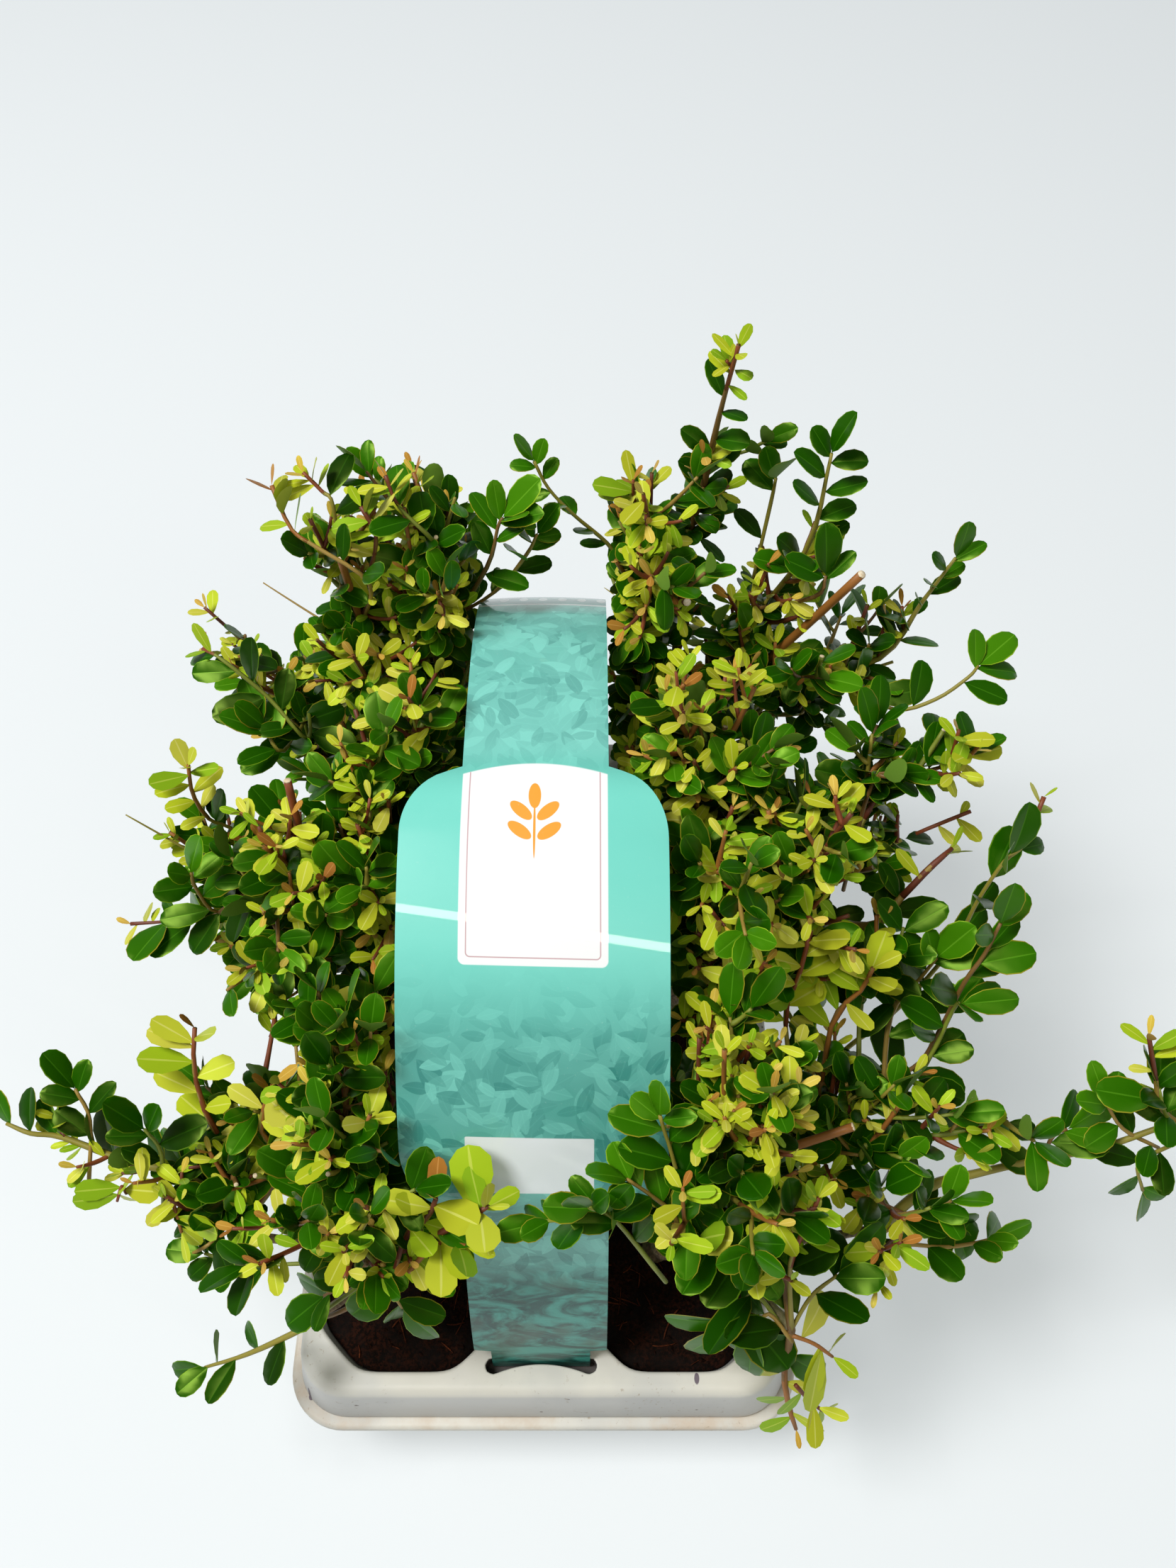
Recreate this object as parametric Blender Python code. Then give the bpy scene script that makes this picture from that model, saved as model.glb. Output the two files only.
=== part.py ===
"""A clump of small-leaved evergreen holly in a moulded carry tray, with the carry strap over it.

Metres, +Z up. The tray stands on z = 0 with its length along Y. The front of the tray faces -Y.
"""

import math
import random
from collections import namedtuple

import bmesh
import bpy
from mathutils import Matrix, Vector
from mathutils.bvhtree import BVHTree

# Clearance between pieces that touch
GAP = 0.0003

# Tray: the crown hangs further to the right, so the tray stands left of the origin
TRAY_X = -0.0235
TRAY_Y = 0.0018
TRAY_WIDTH = 0.199
TRAY_LENGTH = 0.320
TRAY_HEIGHT = 0.070
TRAY_WALL = 0.0012
SKIRT_HEIGHT = 0.031
LIP_WIDTH = 0.0042
LIP_HEIGHT = 0.0050
SKIRT_DRAFT = 0.0030
DECK_ROUND = 0.0050
TRAY_CORNER = 0.022

# Cells: two across, three along
CELL_PITCH_X = 0.0895
CELL_PITCH_Y = 0.0980
CELL_HALF_X = 0.0415
CELL_HALF_Y = 0.0460
CELL_CORNER = 0.017
CELL_PAD_CORNER = 0.030
CELL_FLOOR_SCALE = 0.80
CELL_EDGE_CHAMFER = 0.0012

# Potting soil
SOIL_BELOW_DECK = 0.006
SOIL_MOUND = 0.002

# Carry strap of thin card, hooked into a slot at each end of the tray
SLOT_FROM_END = 0.0195
SLOT_LENGTH = 0.0410
STRAP_WIDTH = 0.0494
STRAP_TONGUE = 0.0370
STRAP_THICK = 0.0006
SLOT_WIDTH = STRAP_THICK + 2 * GAP
STRAP_HEIGHT = 0.1720
STRAP_LEAN = 0.0250
STRAP_FRONT_ROUND = 2.1
STRAP_BACK_ROUND = 2.6
STRAP_HANG = 0.0080
STRAP_SHOULDER = 0.0050
LABEL_WIDTH = 0.0890
LABEL_START = 0.0930
LABEL_END = 0.2480
LABEL_SHOULDER = 0.0240
LABEL_ROLL = math.radians(3.0)

# Stems and boughs
STEM_HEIGHT = 0.026
STEM_LEAN = 0.004
STEM_FLARE = 0.0075
STEM_RADIUS = 0.0036
KNUCKLE_RADIUS = 0.0072
BOUGH_BASE = 0.0021
BOUGH_TIP = 0.0014
BOUGH_STRAIGHT = 0.003
FORK_ANGLE = math.radians(36)

# Twigs and leaves, the leaves larger than life because there are fewer of them
TWIG_BASE = 0.0012
TWIG_TIP = 0.0007
TWIG_SPACING = 0.0105
LEAF_SPACING = 0.0105
LEAF_LENGTH = 0.0310
LEAF_WIDTH = 0.0215
LEAF_THICK = 0.0007
LEAF_SINK = 0.0005
LEAF_ROOT = 0.003
GOLDEN_ANGLE = math.radians(137.5)

ROWS = {"front": -1, "middle": 0, "back": 1}
SIDES = {"left": -1, "right": 1}

# Masses of leaves in each cell: the tip's place out from the middle line, along the tray and above the deck
CROWN = {
    "inner": {"middle": (0.060, 0.038, 0.150), "back": (0.036, 0.122, 0.196)},
    "upper": {
        "front": (0.074, -0.094, 0.136),
        "middle": (0.096, -0.010, 0.170),
        "back": (0.084, 0.100, 0.216),
    },
    "outer": {
        "front": (0.132, -0.056, 0.084),
        "middle": (0.154, 0.032, 0.116),
        "back": (0.146, 0.118, 0.150),
    },
}
RIGHT_REACH = 1.12
LEAFY_FROM = 0.22
BOUGH_SAG = 0.006
MASS_SPREAD = 0.060
ROW_STRETCH = 0.45
VALLEY_HALF = 0.024

# Shoots that give the crown its outline: side, row, where the leaves begin, where the tip is, and the spread.
# Places are from the tray's middle and its deck, in metres.
SHOOTS = {
    "tall_leader": ("right", "back", (0.056, 0.128, 0.160), (0.065, 0.104, 0.280), 0.034),
    "right_reach": ("right", "front", (0.124, -0.104, 0.046), (0.244, -0.080, 0.084), 0.030),
    "left_reach": ("left", "front", (-0.112, -0.104, 0.040), (-0.197, -0.082, 0.074), 0.030),
    "front_right_droop": ("right", "front", (0.088, -0.140, 0.052), (0.094, -0.172, 0.008), 0.024),
    "front_left_low": ("left", "front", (-0.080, -0.132, 0.034), (-0.128, -0.146, 0.020), 0.030),
    "front_left_cross": ("left", "front", (-0.056, -0.124, 0.078), (-0.008, -0.140, 0.094), 0.024),
    "front_right_cross": ("right", "front", (0.062, -0.124, 0.074), (0.016, -0.142, 0.088), 0.024),
}

Mass = namedtuple("Mass", "name side row base tip spread")


def deck_point(x, y, z):
    """A place given from the tray's middle and its deck."""
    return Vector((TRAY_X + x, TRAY_Y + y, TRAY_HEIGHT + z))


def add_material(name, colour, roughness):
    material = bpy.data.materials.new(name)
    material.use_nodes = True
    shader = material.node_tree.nodes["Principled BSDF"]
    shader.inputs["Base Color"].default_value = (*colour, 1.0)
    shader.inputs["Roughness"].default_value = roughness
    shader.inputs["Metallic"].default_value = 0.0
    return material


def add_object(name, points, faces, material=None):
    mesh = bpy.data.meshes.new(name)
    mesh.from_pydata([tuple(p) for p in points], [], faces)
    shape = bmesh.new()
    shape.from_mesh(mesh)
    bmesh.ops.recalc_face_normals(shape, faces=shape.faces)
    shape.to_mesh(mesh)
    shape.free()
    if material:
        mesh.materials.append(material)
    obj = bpy.data.objects.new(name, mesh)
    bpy.context.scene.collection.objects.link(obj)
    return obj


def loft(rings):
    """Points and faces of a closed body through rings of equally many points, with a cap at each end."""
    count = len(rings[0])
    points = [p for ring in rings for p in ring]
    faces = []
    for k in range(len(rings) - 1):
        low, high = k * count, (k + 1) * count
        for i in range(count):
            j = (i + 1) % count
            faces.append((low + i, low + j, high + j, high + i))
    faces.append(tuple(range(count)))
    faces.append(tuple(range((len(rings) - 1) * count, len(rings) * count)))
    return points, faces


def apply_boolean(obj, operation, operand=None, collection=None):
    modifier = obj.modifiers.new(operation.title(), "BOOLEAN")
    modifier.operation = operation
    modifier.solver = "EXACT"
    if collection:
        modifier.operand_type = "COLLECTION"
        modifier.collection = collection
    else:
        modifier.object = operand
    graph = bpy.context.evaluated_depsgraph_get()
    joined = bpy.data.meshes.new_from_object(obj.evaluated_get(graph))
    obj.modifiers.remove(modifier)
    obj.data = joined


def rounded_rectangle(inset, z):
    """One ring round the tray, a distance inside its outermost edge."""
    steps = 4
    radius = TRAY_CORNER - inset / 2
    half_x = TRAY_WIDTH / 2 - inset - radius
    half_y = TRAY_LENGTH / 2 - inset - radius
    ring = []
    for corner in range(4):
        sign_x = (1, -1, -1, 1)[corner]
        sign_y = (1, 1, -1, -1)[corner]
        for step in range(steps + 1):
            angle = math.radians(90) * (corner + step / steps)
            x = sign_x * half_x + radius * math.cos(angle)
            y = sign_y * half_y + radius * math.sin(angle)
            ring.append((TRAY_X + x, TRAY_Y + y, z))
    return ring


def cell_outline(side, row, scale, z):
    """The eight corners of a cell, with the wide cut where the corner meets a strap slot."""
    centre_x = SIDES[side] * CELL_PITCH_X / 2
    centre_y = ROWS[row] * CELL_PITCH_Y
    ring = []
    for sign_x, sign_y in ((1, 1), (-1, 1), (-1, -1), (1, -1)):
        by_slot = sign_x == -SIDES[side] and sign_y == ROWS[row]
        cut = CELL_PAD_CORNER if by_slot else CELL_CORNER
        along = (sign_x * (CELL_HALF_X - cut), sign_y * CELL_HALF_Y)
        across = (sign_x * CELL_HALF_X, sign_y * (CELL_HALF_Y - cut))
        pair = (across, along) if sign_x == sign_y else (along, across)
        ring.extend(pair)
    return [
        (TRAY_X + centre_x + x * scale, TRAY_Y + centre_y + y * scale, z) for x, y in ring
    ]


def hollow_scale(z):
    """How much narrower the inside of a cell is at height z than its edge on the deck."""
    floor = CELL_FLOOR_SCALE - TRAY_WALL / CELL_HALF_X
    share = (z - TRAY_WALL) / (TRAY_HEIGHT - CELL_EDGE_CHAMFER - TRAY_WALL)
    return floor + (1.0 - floor) * share


def cut_or_join(body, operation, rings):
    tool = add_object("tool", *loft(rings))
    apply_boolean(body, operation, tool)
    bpy.data.objects.remove(tool)


def build_shell(material):
    """The tray's deck and flared skirt, open below."""
    top = TRAY_HEIGHT
    low = TRAY_HEIGHT - SKIRT_HEIGHT
    wall = LIP_WIDTH + SKIRT_DRAFT
    outer = [
        (0.0, low),
        (0.0, low + LIP_HEIGHT * 0.3),
        (LIP_WIDTH, low + LIP_HEIGHT),
        (wall, top - DECK_ROUND),
        (wall + DECK_ROUND * 0.3, top - DECK_ROUND * 0.3),
        (wall + DECK_ROUND, top),
    ]
    inner = [
        (wall + DECK_ROUND, top - TRAY_WALL),
        (wall + TRAY_WALL, top - DECK_ROUND),
        (LIP_WIDTH + TRAY_WALL, low + LIP_HEIGHT - TRAY_WALL),
        (TRAY_WALL, low),
    ]
    rings = [rounded_rectangle(inset, z) for inset, z in outer + inner]
    points, faces = loft(rings)
    count = len(rings[0])
    deck = len(outer) - 1
    # The end caps come off, the deck and its underside get caps, and the last ring turns back to the first
    del faces[-2:]
    faces = [f for f in faces if not (min(f) // count == deck and max(f) // count == deck + 1)]
    faces.append(tuple(range(deck * count, (deck + 1) * count)))
    faces.append(tuple(range((deck + 1) * count, (deck + 2) * count)))
    last = (len(rings) - 1) * count
    for i in range(count):
        j = (i + 1) % count
        faces.append((i, j, last + j, last + i))
    return add_object("tray", points, faces, material)


def build_tray(material):
    """A shell with six tapered cups under its deck and a strap slot at each end."""
    top = TRAY_HEIGHT
    tray = build_shell(material)
    cells = [(side, row) for side in SIDES for row in ROWS]
    cup_edge = 1.0 + 2 * TRAY_WALL / CELL_HALF_X
    for side, row in cells:
        floor = cell_outline(side, row, CELL_FLOOR_SCALE, 0.0)
        edge = cell_outline(side, row, cup_edge, top - TRAY_WALL / 2)
        cut_or_join(tray, "UNION", [floor, edge])
    # The hollow is carried on above the deck at the slope of its chamfered edge
    for side, row in cells:
        floor = cell_outline(side, row, hollow_scale(TRAY_WALL), TRAY_WALL)
        edge = cell_outline(side, row, 1.0, top - CELL_EDGE_CHAMFER)
        above = cell_outline(side, row, 1.0 + 2 * CELL_EDGE_CHAMFER / CELL_HALF_X, top + CELL_EDGE_CHAMFER)
        cut_or_join(tray, "DIFFERENCE", [floor, edge, above])
    for end in (-1, 1):
        y = TRAY_Y + end * (TRAY_LENGTH / 2 - SLOT_FROM_END)
        corners = [
            (TRAY_X + sign_x * SLOT_LENGTH / 2, y + sign_y * SLOT_WIDTH / 2)
            for sign_x, sign_y in ((-1, -1), (1, -1), (1, 1), (-1, 1))
        ]
        rings = [[(*corner, z) for corner in corners] for z in (top - 3 * TRAY_WALL, top + 3 * TRAY_WALL)]
        cut_or_join(tray, "DIFFERENCE", rings)
    return tray


def build_soil(side, row, material):
    """The soil that fills one cell, a little mounded in the middle."""
    bottom = TRAY_WALL + GAP
    level = TRAY_HEIGHT - SOIL_BELOW_DECK
    shoulder = level - SOIL_MOUND / 2
    clear = 2 * GAP / CELL_HALF_X
    rings = [
        cell_outline(side, row, hollow_scale(bottom) - clear, bottom),
        cell_outline(side, row, hollow_scale(shoulder) - clear, shoulder),
        cell_outline(side, row, hollow_scale(level) * 0.94, level),
        cell_outline(side, row, 0.55, level + SOIL_MOUND * 0.7),
        cell_outline(side, row, 0.28, level + SOIL_MOUND),
    ]
    return add_object(f"soil_{side}_{row}", *loft(rings), material)


def stem_line(side, row):
    """The foot of a cell's stem on the soil, and the middle of its head, where the boughs part."""
    below = SOIL_BELOW_DECK - SOIL_MOUND - GAP
    foot = deck_point(SIDES[side] * CELL_PITCH_X / 2, ROWS[row] * CELL_PITCH_Y, -below)
    return foot, foot + Vector((SIDES[side] * STEM_LEAN, ROWS[row] * STEM_LEAN, STEM_HEIGHT))


def build_stem(side, row, material):
    """A short stem with a root flare, a flat cut at the soil and a round head where the boughs part."""
    foot, head = stem_line(side, row)
    profile = [
        (foot, STEM_FLARE),
        (foot.lerp(head, 0.10), STEM_FLARE * 0.74),
        (foot.lerp(head, 0.30), STEM_RADIUS * 1.18),
        (foot.lerp(head, 0.62), STEM_RADIUS),
    ]
    for latitude in (-48, -20, 8, 36, 64):
        angle = math.radians(latitude)
        middle = head + Vector((0, 0, KNUCKLE_RADIUS * math.sin(angle)))
        profile.append((middle, KNUCKLE_RADIUS * math.cos(angle)))
    rings = []
    for middle, radius in profile:
        ring = []
        for i in range(8):
            angle = math.radians(45) * i
            ring.append(middle + Vector((radius * math.cos(angle), radius * math.sin(angle), 0)))
        rings.append(ring)
    return add_object(f"stem_{side}_{row}", *loft(rings), material)


def curve_point(start, pull, end, share):
    """A quadratic curve from start to end, drawn towards pull."""
    return start.lerp(pull, share).lerp(pull.lerp(end, share), share)


def tube(path, radii, sides, turn=0.0):
    """Points and faces of a tapering limb along a path, with flat ends square to it."""
    rings = []
    for k, middle in enumerate(path):
        before = path[max(k - 1, 0)]
        after = path[min(k + 1, len(path) - 1)]
        along = (after - before).normalized()
        side = along.orthogonal().normalized()
        if rings:
            side = (last_side - along * last_side.dot(along)).normalized()
        last_side = side
        up = along.cross(side)
        ring = []
        for i in range(sides):
            angle = turn + 2 * math.pi * i / sides
            ring.append(middle + (side * math.cos(angle) + up * math.sin(angle)) * radii[k])
        rings.append(ring)
    return loft(rings)


def fork_headings(head, entries):
    """The way each bough leaves one knuckle: towards its leaves, turned apart until each has room."""
    headings = [(entry - head).normalized() for entry in entries]
    for _ in range(80):
        for i in range(len(headings)):
            for j in range(i):
                apart = headings[i].angle(headings[j])
                if apart < FORK_ANGLE:
                    push = (headings[i] - headings[j]).normalized() * (FORK_ANGLE - apart) * 0.5
                    headings[i] = (headings[i] + push).normalized()
                    headings[j] = (headings[j] - push).normalized()
    return headings


def bough_path(head, toward, entry, tip):
    """A limb that leaves the knuckle straight out and bends round to where its leaves begin."""
    start = head + toward * (KNUCKLE_RADIUS + GAP)
    # Straight for a little way at each end, so that the end faces are square to the limb
    first = start + toward * BOUGH_STRAIGHT
    heading = (tip - entry).normalized()
    end = entry - heading * GAP
    last = end - heading * BOUGH_STRAIGHT
    reach = (last - first).length
    pull = (first + toward * reach * 0.5 + last - heading * reach * 0.35) * 0.5
    steps = 5
    bend = [curve_point(first, pull, last, k / steps) for k in range(steps + 1)]
    return [start, *bend, end]


def crown_masses():
    """Every mass of leaves, with its cell, where its leaves begin, its tip and how far its twigs spread."""
    masses = []
    for side, sign_x in SIDES.items():
        reach = RIGHT_REACH if side == "right" else 1.0
        for row in ROWS:
            _, head = stem_line(side, row)
            for kind, rows in CROWN.items():
                if row not in rows:
                    continue
                out, along, top = rows[row]
                tip = deck_point(sign_x * out * reach, along, top * reach)
                base = head.lerp(tip, LEAFY_FROM) - Vector((0, 0, BOUGH_SAG))
                masses.append(Mass(f"{kind}_{side}_{row}", side, row, base, tip, MASS_SPREAD))
    for name, (side, row, base, tip, spread) in SHOOTS.items():
        masses.append(Mass(name, side, row, deck_point(*base), deck_point(*tip), spread))
    return masses


def strap_line(steps):
    """The strap's middle line from the front slot, over the crown and down to the back slot."""
    reach = TRAY_LENGTH / 2 - SLOT_FROM_END
    line = [Vector((TRAY_X, TRAY_Y - reach, TRAY_HEIGHT - STRAP_HANG))]
    for k in range(steps + 1):
        angle = math.pi * k / steps
        across, rise = -math.cos(angle), math.sin(angle)
        power = STRAP_FRONT_ROUND if across < 0 else STRAP_BACK_ROUND
        y = math.copysign(abs(across) ** (2 / power), across) * reach
        z = max(rise, 0.0) ** (2 / power)
        line.append(Vector((TRAY_X, TRAY_Y + y + STRAP_LEAN * z, TRAY_HEIGHT + STRAP_HEIGHT * z)))
    line.append(Vector((TRAY_X, TRAY_Y + reach, TRAY_HEIGHT - STRAP_HANG)))
    return line


def line_at(line, distance):
    """The place and heading on a line at a distance along it."""
    for k in range(len(line) - 1):
        step = (line[k + 1] - line[k]).length
        if distance <= step or k == len(line) - 2:
            heading = (line[k + 1] - line[k]).normalized()
            return line[k] + heading * min(distance, step), heading
        distance -= step
    return line[-1], heading


def strap_half_width(distance, length):
    """Half the strap's width at a distance from its front end, wider at the label between round shoulders."""
    tongue = STRAP_HANG + STRAP_SHOULDER
    if distance < tongue or distance > length - tongue:
        return STRAP_TONGUE / 2
    start, stop = LABEL_START + STRAP_HANG, LABEL_END + STRAP_HANG
    if distance <= start or distance >= stop:
        return STRAP_WIDTH / 2
    inside = min(distance - start, stop - distance) / LABEL_SHOULDER
    wider = math.sqrt(max(0.0, 1 - (1 - min(inside, 1.0)) ** 2))
    return STRAP_WIDTH / 2 + (LABEL_WIDTH - STRAP_WIDTH) / 2 * wider


def strap_stations(length):
    """Distances along the strap where its outline or its curve needs a ring."""
    edge = 0.0001
    tongue = STRAP_HANG + STRAP_SHOULDER
    ends = [0.0, STRAP_HANG, tongue - edge, tongue + edge]
    start, stop = LABEL_START + STRAP_HANG, LABEL_END + STRAP_HANG
    rounds = [LABEL_SHOULDER * share for share in (0.001, 0.06, 0.2, 0.5, 1.0)]
    evenly = [length * k / 34 for k in range(1, 34)]
    stations = ends + [length - s for s in ends] + [start + s for s in rounds] + [stop - s for s in rounds]
    return sorted(stations + evenly)


def build_strap(material):
    """A flat strap of thin card along its line, with the label a little rolled to one side."""
    line = strap_line(96)
    length = sum((line[k + 1] - line[k]).length for k in range(len(line) - 1))
    start, stop = LABEL_START + STRAP_HANG, LABEL_END + STRAP_HANG
    rings = []
    for distance in strap_stations(length):
        place, heading = line_at(line, distance)
        normal = heading.cross(Vector((1, 0, 0))).normalized()
        half = strap_half_width(distance, length)
        inside = max(0.0, min(distance - start, stop - distance) / LABEL_SHOULDER)
        roll = math.tan(LABEL_ROLL) * min(inside, 1.0)
        ring = []
        for sign_x, sign_n in ((-1, -1), (1, -1), (1, 1), (-1, 1)):
            drop = Vector((0, 0, -sign_x * half * roll))
            ring.append(place + Vector((sign_x * half, 0, 0)) + normal * sign_n * STRAP_THICK / 2 + drop)
        rings.append(ring)
    return add_object("carry_strap", *loft(rings), material)


def leaf(base, heading, facing, length, width, thick):
    """A flat pointed leaf of eight faces."""
    across = heading.cross(facing).normalized()
    up = across.cross(heading).normalized()
    middle = base + heading * length * 0.54
    points = [
        base,
        middle + across * width / 2,
        base + heading * length,
        middle - across * width / 2,
        middle + up * thick / 2,
        middle - up * thick / 2,
    ]
    faces = []
    for i in range(4):
        j = (i + 1) % 4
        faces.append((i, j, 4))
        faces.append((j, i, 5))
    return points, faces


def shape_tree(points, faces):
    return BVHTree.FromPolygons([tuple(p) for p in points], faces, epsilon=0.0)


class Space:
    """What a mass keeps clear of: limbs, tray, soil and strap, the other masses, and its own leaves."""

    def __init__(self):
        self.fixed = []
        self.twigs = {}
        self.leaves = {}

    def add_fixed(self, obj):
        points = [v.co.copy() for v in obj.data.vertices]
        faces = [tuple(p.vertices) for p in obj.data.polygons]
        self.fixed.append(shape_tree(points, faces))

    def is_clear(self, tree, mass):
        others = list(self.fixed)
        for grown in (self.twigs, self.leaves):
            for name, trees in grown.items():
                if name != mass or grown is self.leaves:
                    others.extend(trees)
        return not any(tree.overlap(other) for other in others)


def in_valley(place):
    """Whether a place is in the gap that the two halves of the crown leave under the strap."""
    return abs(place.x - TRAY_X) < VALLEY_HALF and place.y - TRAY_Y > -CELL_PITCH_Y


def nearest_mass(place, masses):
    """The name of the mass whose line, from where its leaves begin to its tip, is nearest to a place."""
    best, name = math.inf, None
    for mass in masses:
        along = mass.tip - mass.base
        share = max(0.0, min(1.0, (place - mass.base).dot(along) / along.length_squared))
        away = (place - mass.base - along * share).length
        if away < best:
            best, name = away, mass.name
    return name


def turned(axis, tilt, spin):
    """A heading that leans away from an axis by tilt, turned round it by spin."""
    side = axis.orthogonal().normalized()
    side = Matrix.Rotation(spin, 3, axis) @ side
    return (axis * math.cos(tilt) + side * math.sin(tilt)).normalized()


def grow_mass(mass, masses, space, material):
    """Twigs that branch from one stem by a seeded rule, each with its leaves, joined into one body."""
    rng = random.Random(mass.name)
    heading = (mass.tip - mass.base).normalized()
    stem_end = mass.tip - heading * LEAF_LENGTH * 0.9
    twigs = space.twigs.setdefault(mass.name, [])
    leaves = space.leaves.setdefault(mass.name, [])
    stem_path = [mass.base, mass.base.lerp(stem_end, 0.5), stem_end]
    pieces = [tube(stem_path, [BOUGH_TIP, TWIG_BASE, TWIG_TIP], 5)]
    twigs.append(shape_tree(*pieces[0]))

    def has_room(end, tree):
        in_own_space = nearest_mass(end, masses) == mass.name and not in_valley(end)
        return in_own_space and space.is_clear(tree, mass.name)

    def try_twig(start, end):
        wide = shape_tree(*tube([start, end], [TWIG_BASE + 2 * GAP, TWIG_TIP + 2 * GAP], 3))
        if not has_room(end, wide):
            return False
        pieces.append(tube([start, end], [TWIG_BASE, TWIG_TIP], 3))
        twigs.append(wide)
        return True

    def try_leaf(start, direction, size):
        tilt = direction.orthogonal().normalized() * rng.uniform(-0.7, 0.7)
        facing = (Vector((0, 0, 1)) + tilt).normalized()
        sizes = (LEAF_LENGTH * size, LEAF_WIDTH * size)
        # The root, which sinks in the twig, is left out of the check
        wide = leaf(start + direction * LEAF_ROOT, direction, facing, *sizes, LEAF_THICK + 4 * GAP)
        tree = shape_tree(*wide)
        if has_room(start + direction * sizes[0], tree):
            pieces.append(leaf(start, direction, facing, *sizes, LEAF_THICK))
            leaves.append(tree)

    try_leaf(stem_end - heading * LEAF_SINK * 4, heading, 0.98)
    spin = rng.uniform(0, 2 * math.pi)
    count = max(4, round((stem_end - mass.base).length / TWIG_SPACING))
    for k in range(count):
        share = 0.04 + 0.92 * k / (count - 1)
        start = mass.base.lerp(stem_end, share)
        spin += GOLDEN_ANGLE
        out = turned(heading, math.radians(rng.uniform(50, 78)), spin)
        room = (mass.spread - LEAF_LENGTH * 0.9) * (1.0 - 0.4 * share) * rng.uniform(0.75, 1.1)
        room *= 1 + ROW_STRETCH * abs(out.y)
        end = start + out * room
        if room < LEAF_SPACING * 0.8 or not try_twig(start, end):
            try_leaf(start - out * LEAF_SINK, out, rng.uniform(0.75, 0.95))
            continue
        try_leaf(end - out * LEAF_SINK * 4, out, rng.uniform(0.85, 1.0))
        pairs = int(room / LEAF_SPACING / 0.6)
        for step in range(pairs):
            side = turned(out, rng.uniform(0.8, 1.1), spin + step * GOLDEN_ANGLE)
            place = start.lerp(end, (step + 0.7) / (pairs + 0.4))
            try_leaf(place - side * LEAF_SINK, side, rng.uniform(0.75, 0.95))

    body = add_object(f"leaves_{mass.name}", *pieces[0], material)
    parts = bpy.data.collections.new("parts of one mass")
    bpy.context.scene.collection.children.link(parts)
    for points, faces in pieces[1:]:
        piece = add_object("piece of one mass", points, faces)
        bpy.context.scene.collection.objects.unlink(piece)
        parts.objects.link(piece)
    apply_boolean(body, "UNION", collection=parts)
    for piece in list(parts.objects):
        bpy.data.objects.remove(piece)
    bpy.data.collections.remove(parts)
    drop_scraps(body)


def drop_scraps(obj):
    """Keeps only the largest shell of a mass: loose scraps and sealed hollows go."""
    shape = bmesh.new()
    shape.from_mesh(obj.data)
    left = set(shape.faces)
    shells = []
    while left:
        first = left.pop()
        shell, front = [first], [first]
        while front:
            face = front.pop()
            for edge in face.edges:
                for other in edge.link_faces:
                    if other in left:
                        left.remove(other)
                        front.append(other)
                        shell.append(other)
        shells.append(shell)
    shells.sort(key=len)
    for shell in shells[:-1]:
        bmesh.ops.delete(shape, geom=shell, context="FACES")
    shape.to_mesh(obj.data)
    shape.free()


def main():
    for obj in list(bpy.data.objects):
        bpy.data.objects.remove(obj)
    white = add_material("tray white", (0.80, 0.79, 0.74), 0.45)
    soil = add_material("soil", (0.030, 0.014, 0.008), 0.95)
    teal = add_material("strap teal", (0.12, 0.50, 0.46), 0.30)
    bark = add_material("bark", (0.16, 0.12, 0.06), 0.75)
    green = add_material("leaf green", (0.05, 0.16, 0.02), 0.35)

    space = Space()
    space.add_fixed(build_tray(white))
    for side in SIDES:
        for row in ROWS:
            space.add_fixed(build_soil(side, row, soil))
            space.add_fixed(build_stem(side, row, bark))
    space.add_fixed(build_strap(teal))

    masses = crown_masses()
    for side in SIDES:
        for row in ROWS:
            _, head = stem_line(side, row)
            cell = [mass for mass in masses if (mass.side, mass.row) == (side, row)]
            headings = fork_headings(head, [mass.base for mass in cell])
            for toward, mass in zip(headings, cell):
                path = bough_path(head, toward, mass.base, mass.tip)
                taper = (BOUGH_TIP - BOUGH_BASE) / (len(path) - 1)
                radii = [BOUGH_BASE + taper * k for k in range(len(path))]
                space.add_fixed(add_object(f"bough_{mass.name}", *tube(path, radii, 5), bark))
    for mass in masses:
        grow_mass(mass, masses, space, green)


main()
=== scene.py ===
import math

import bmesh
import bpy
import numpy as np
from mathutils import Matrix, Vector
from mathutils.geometry import delaunay_2d_cdt


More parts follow.
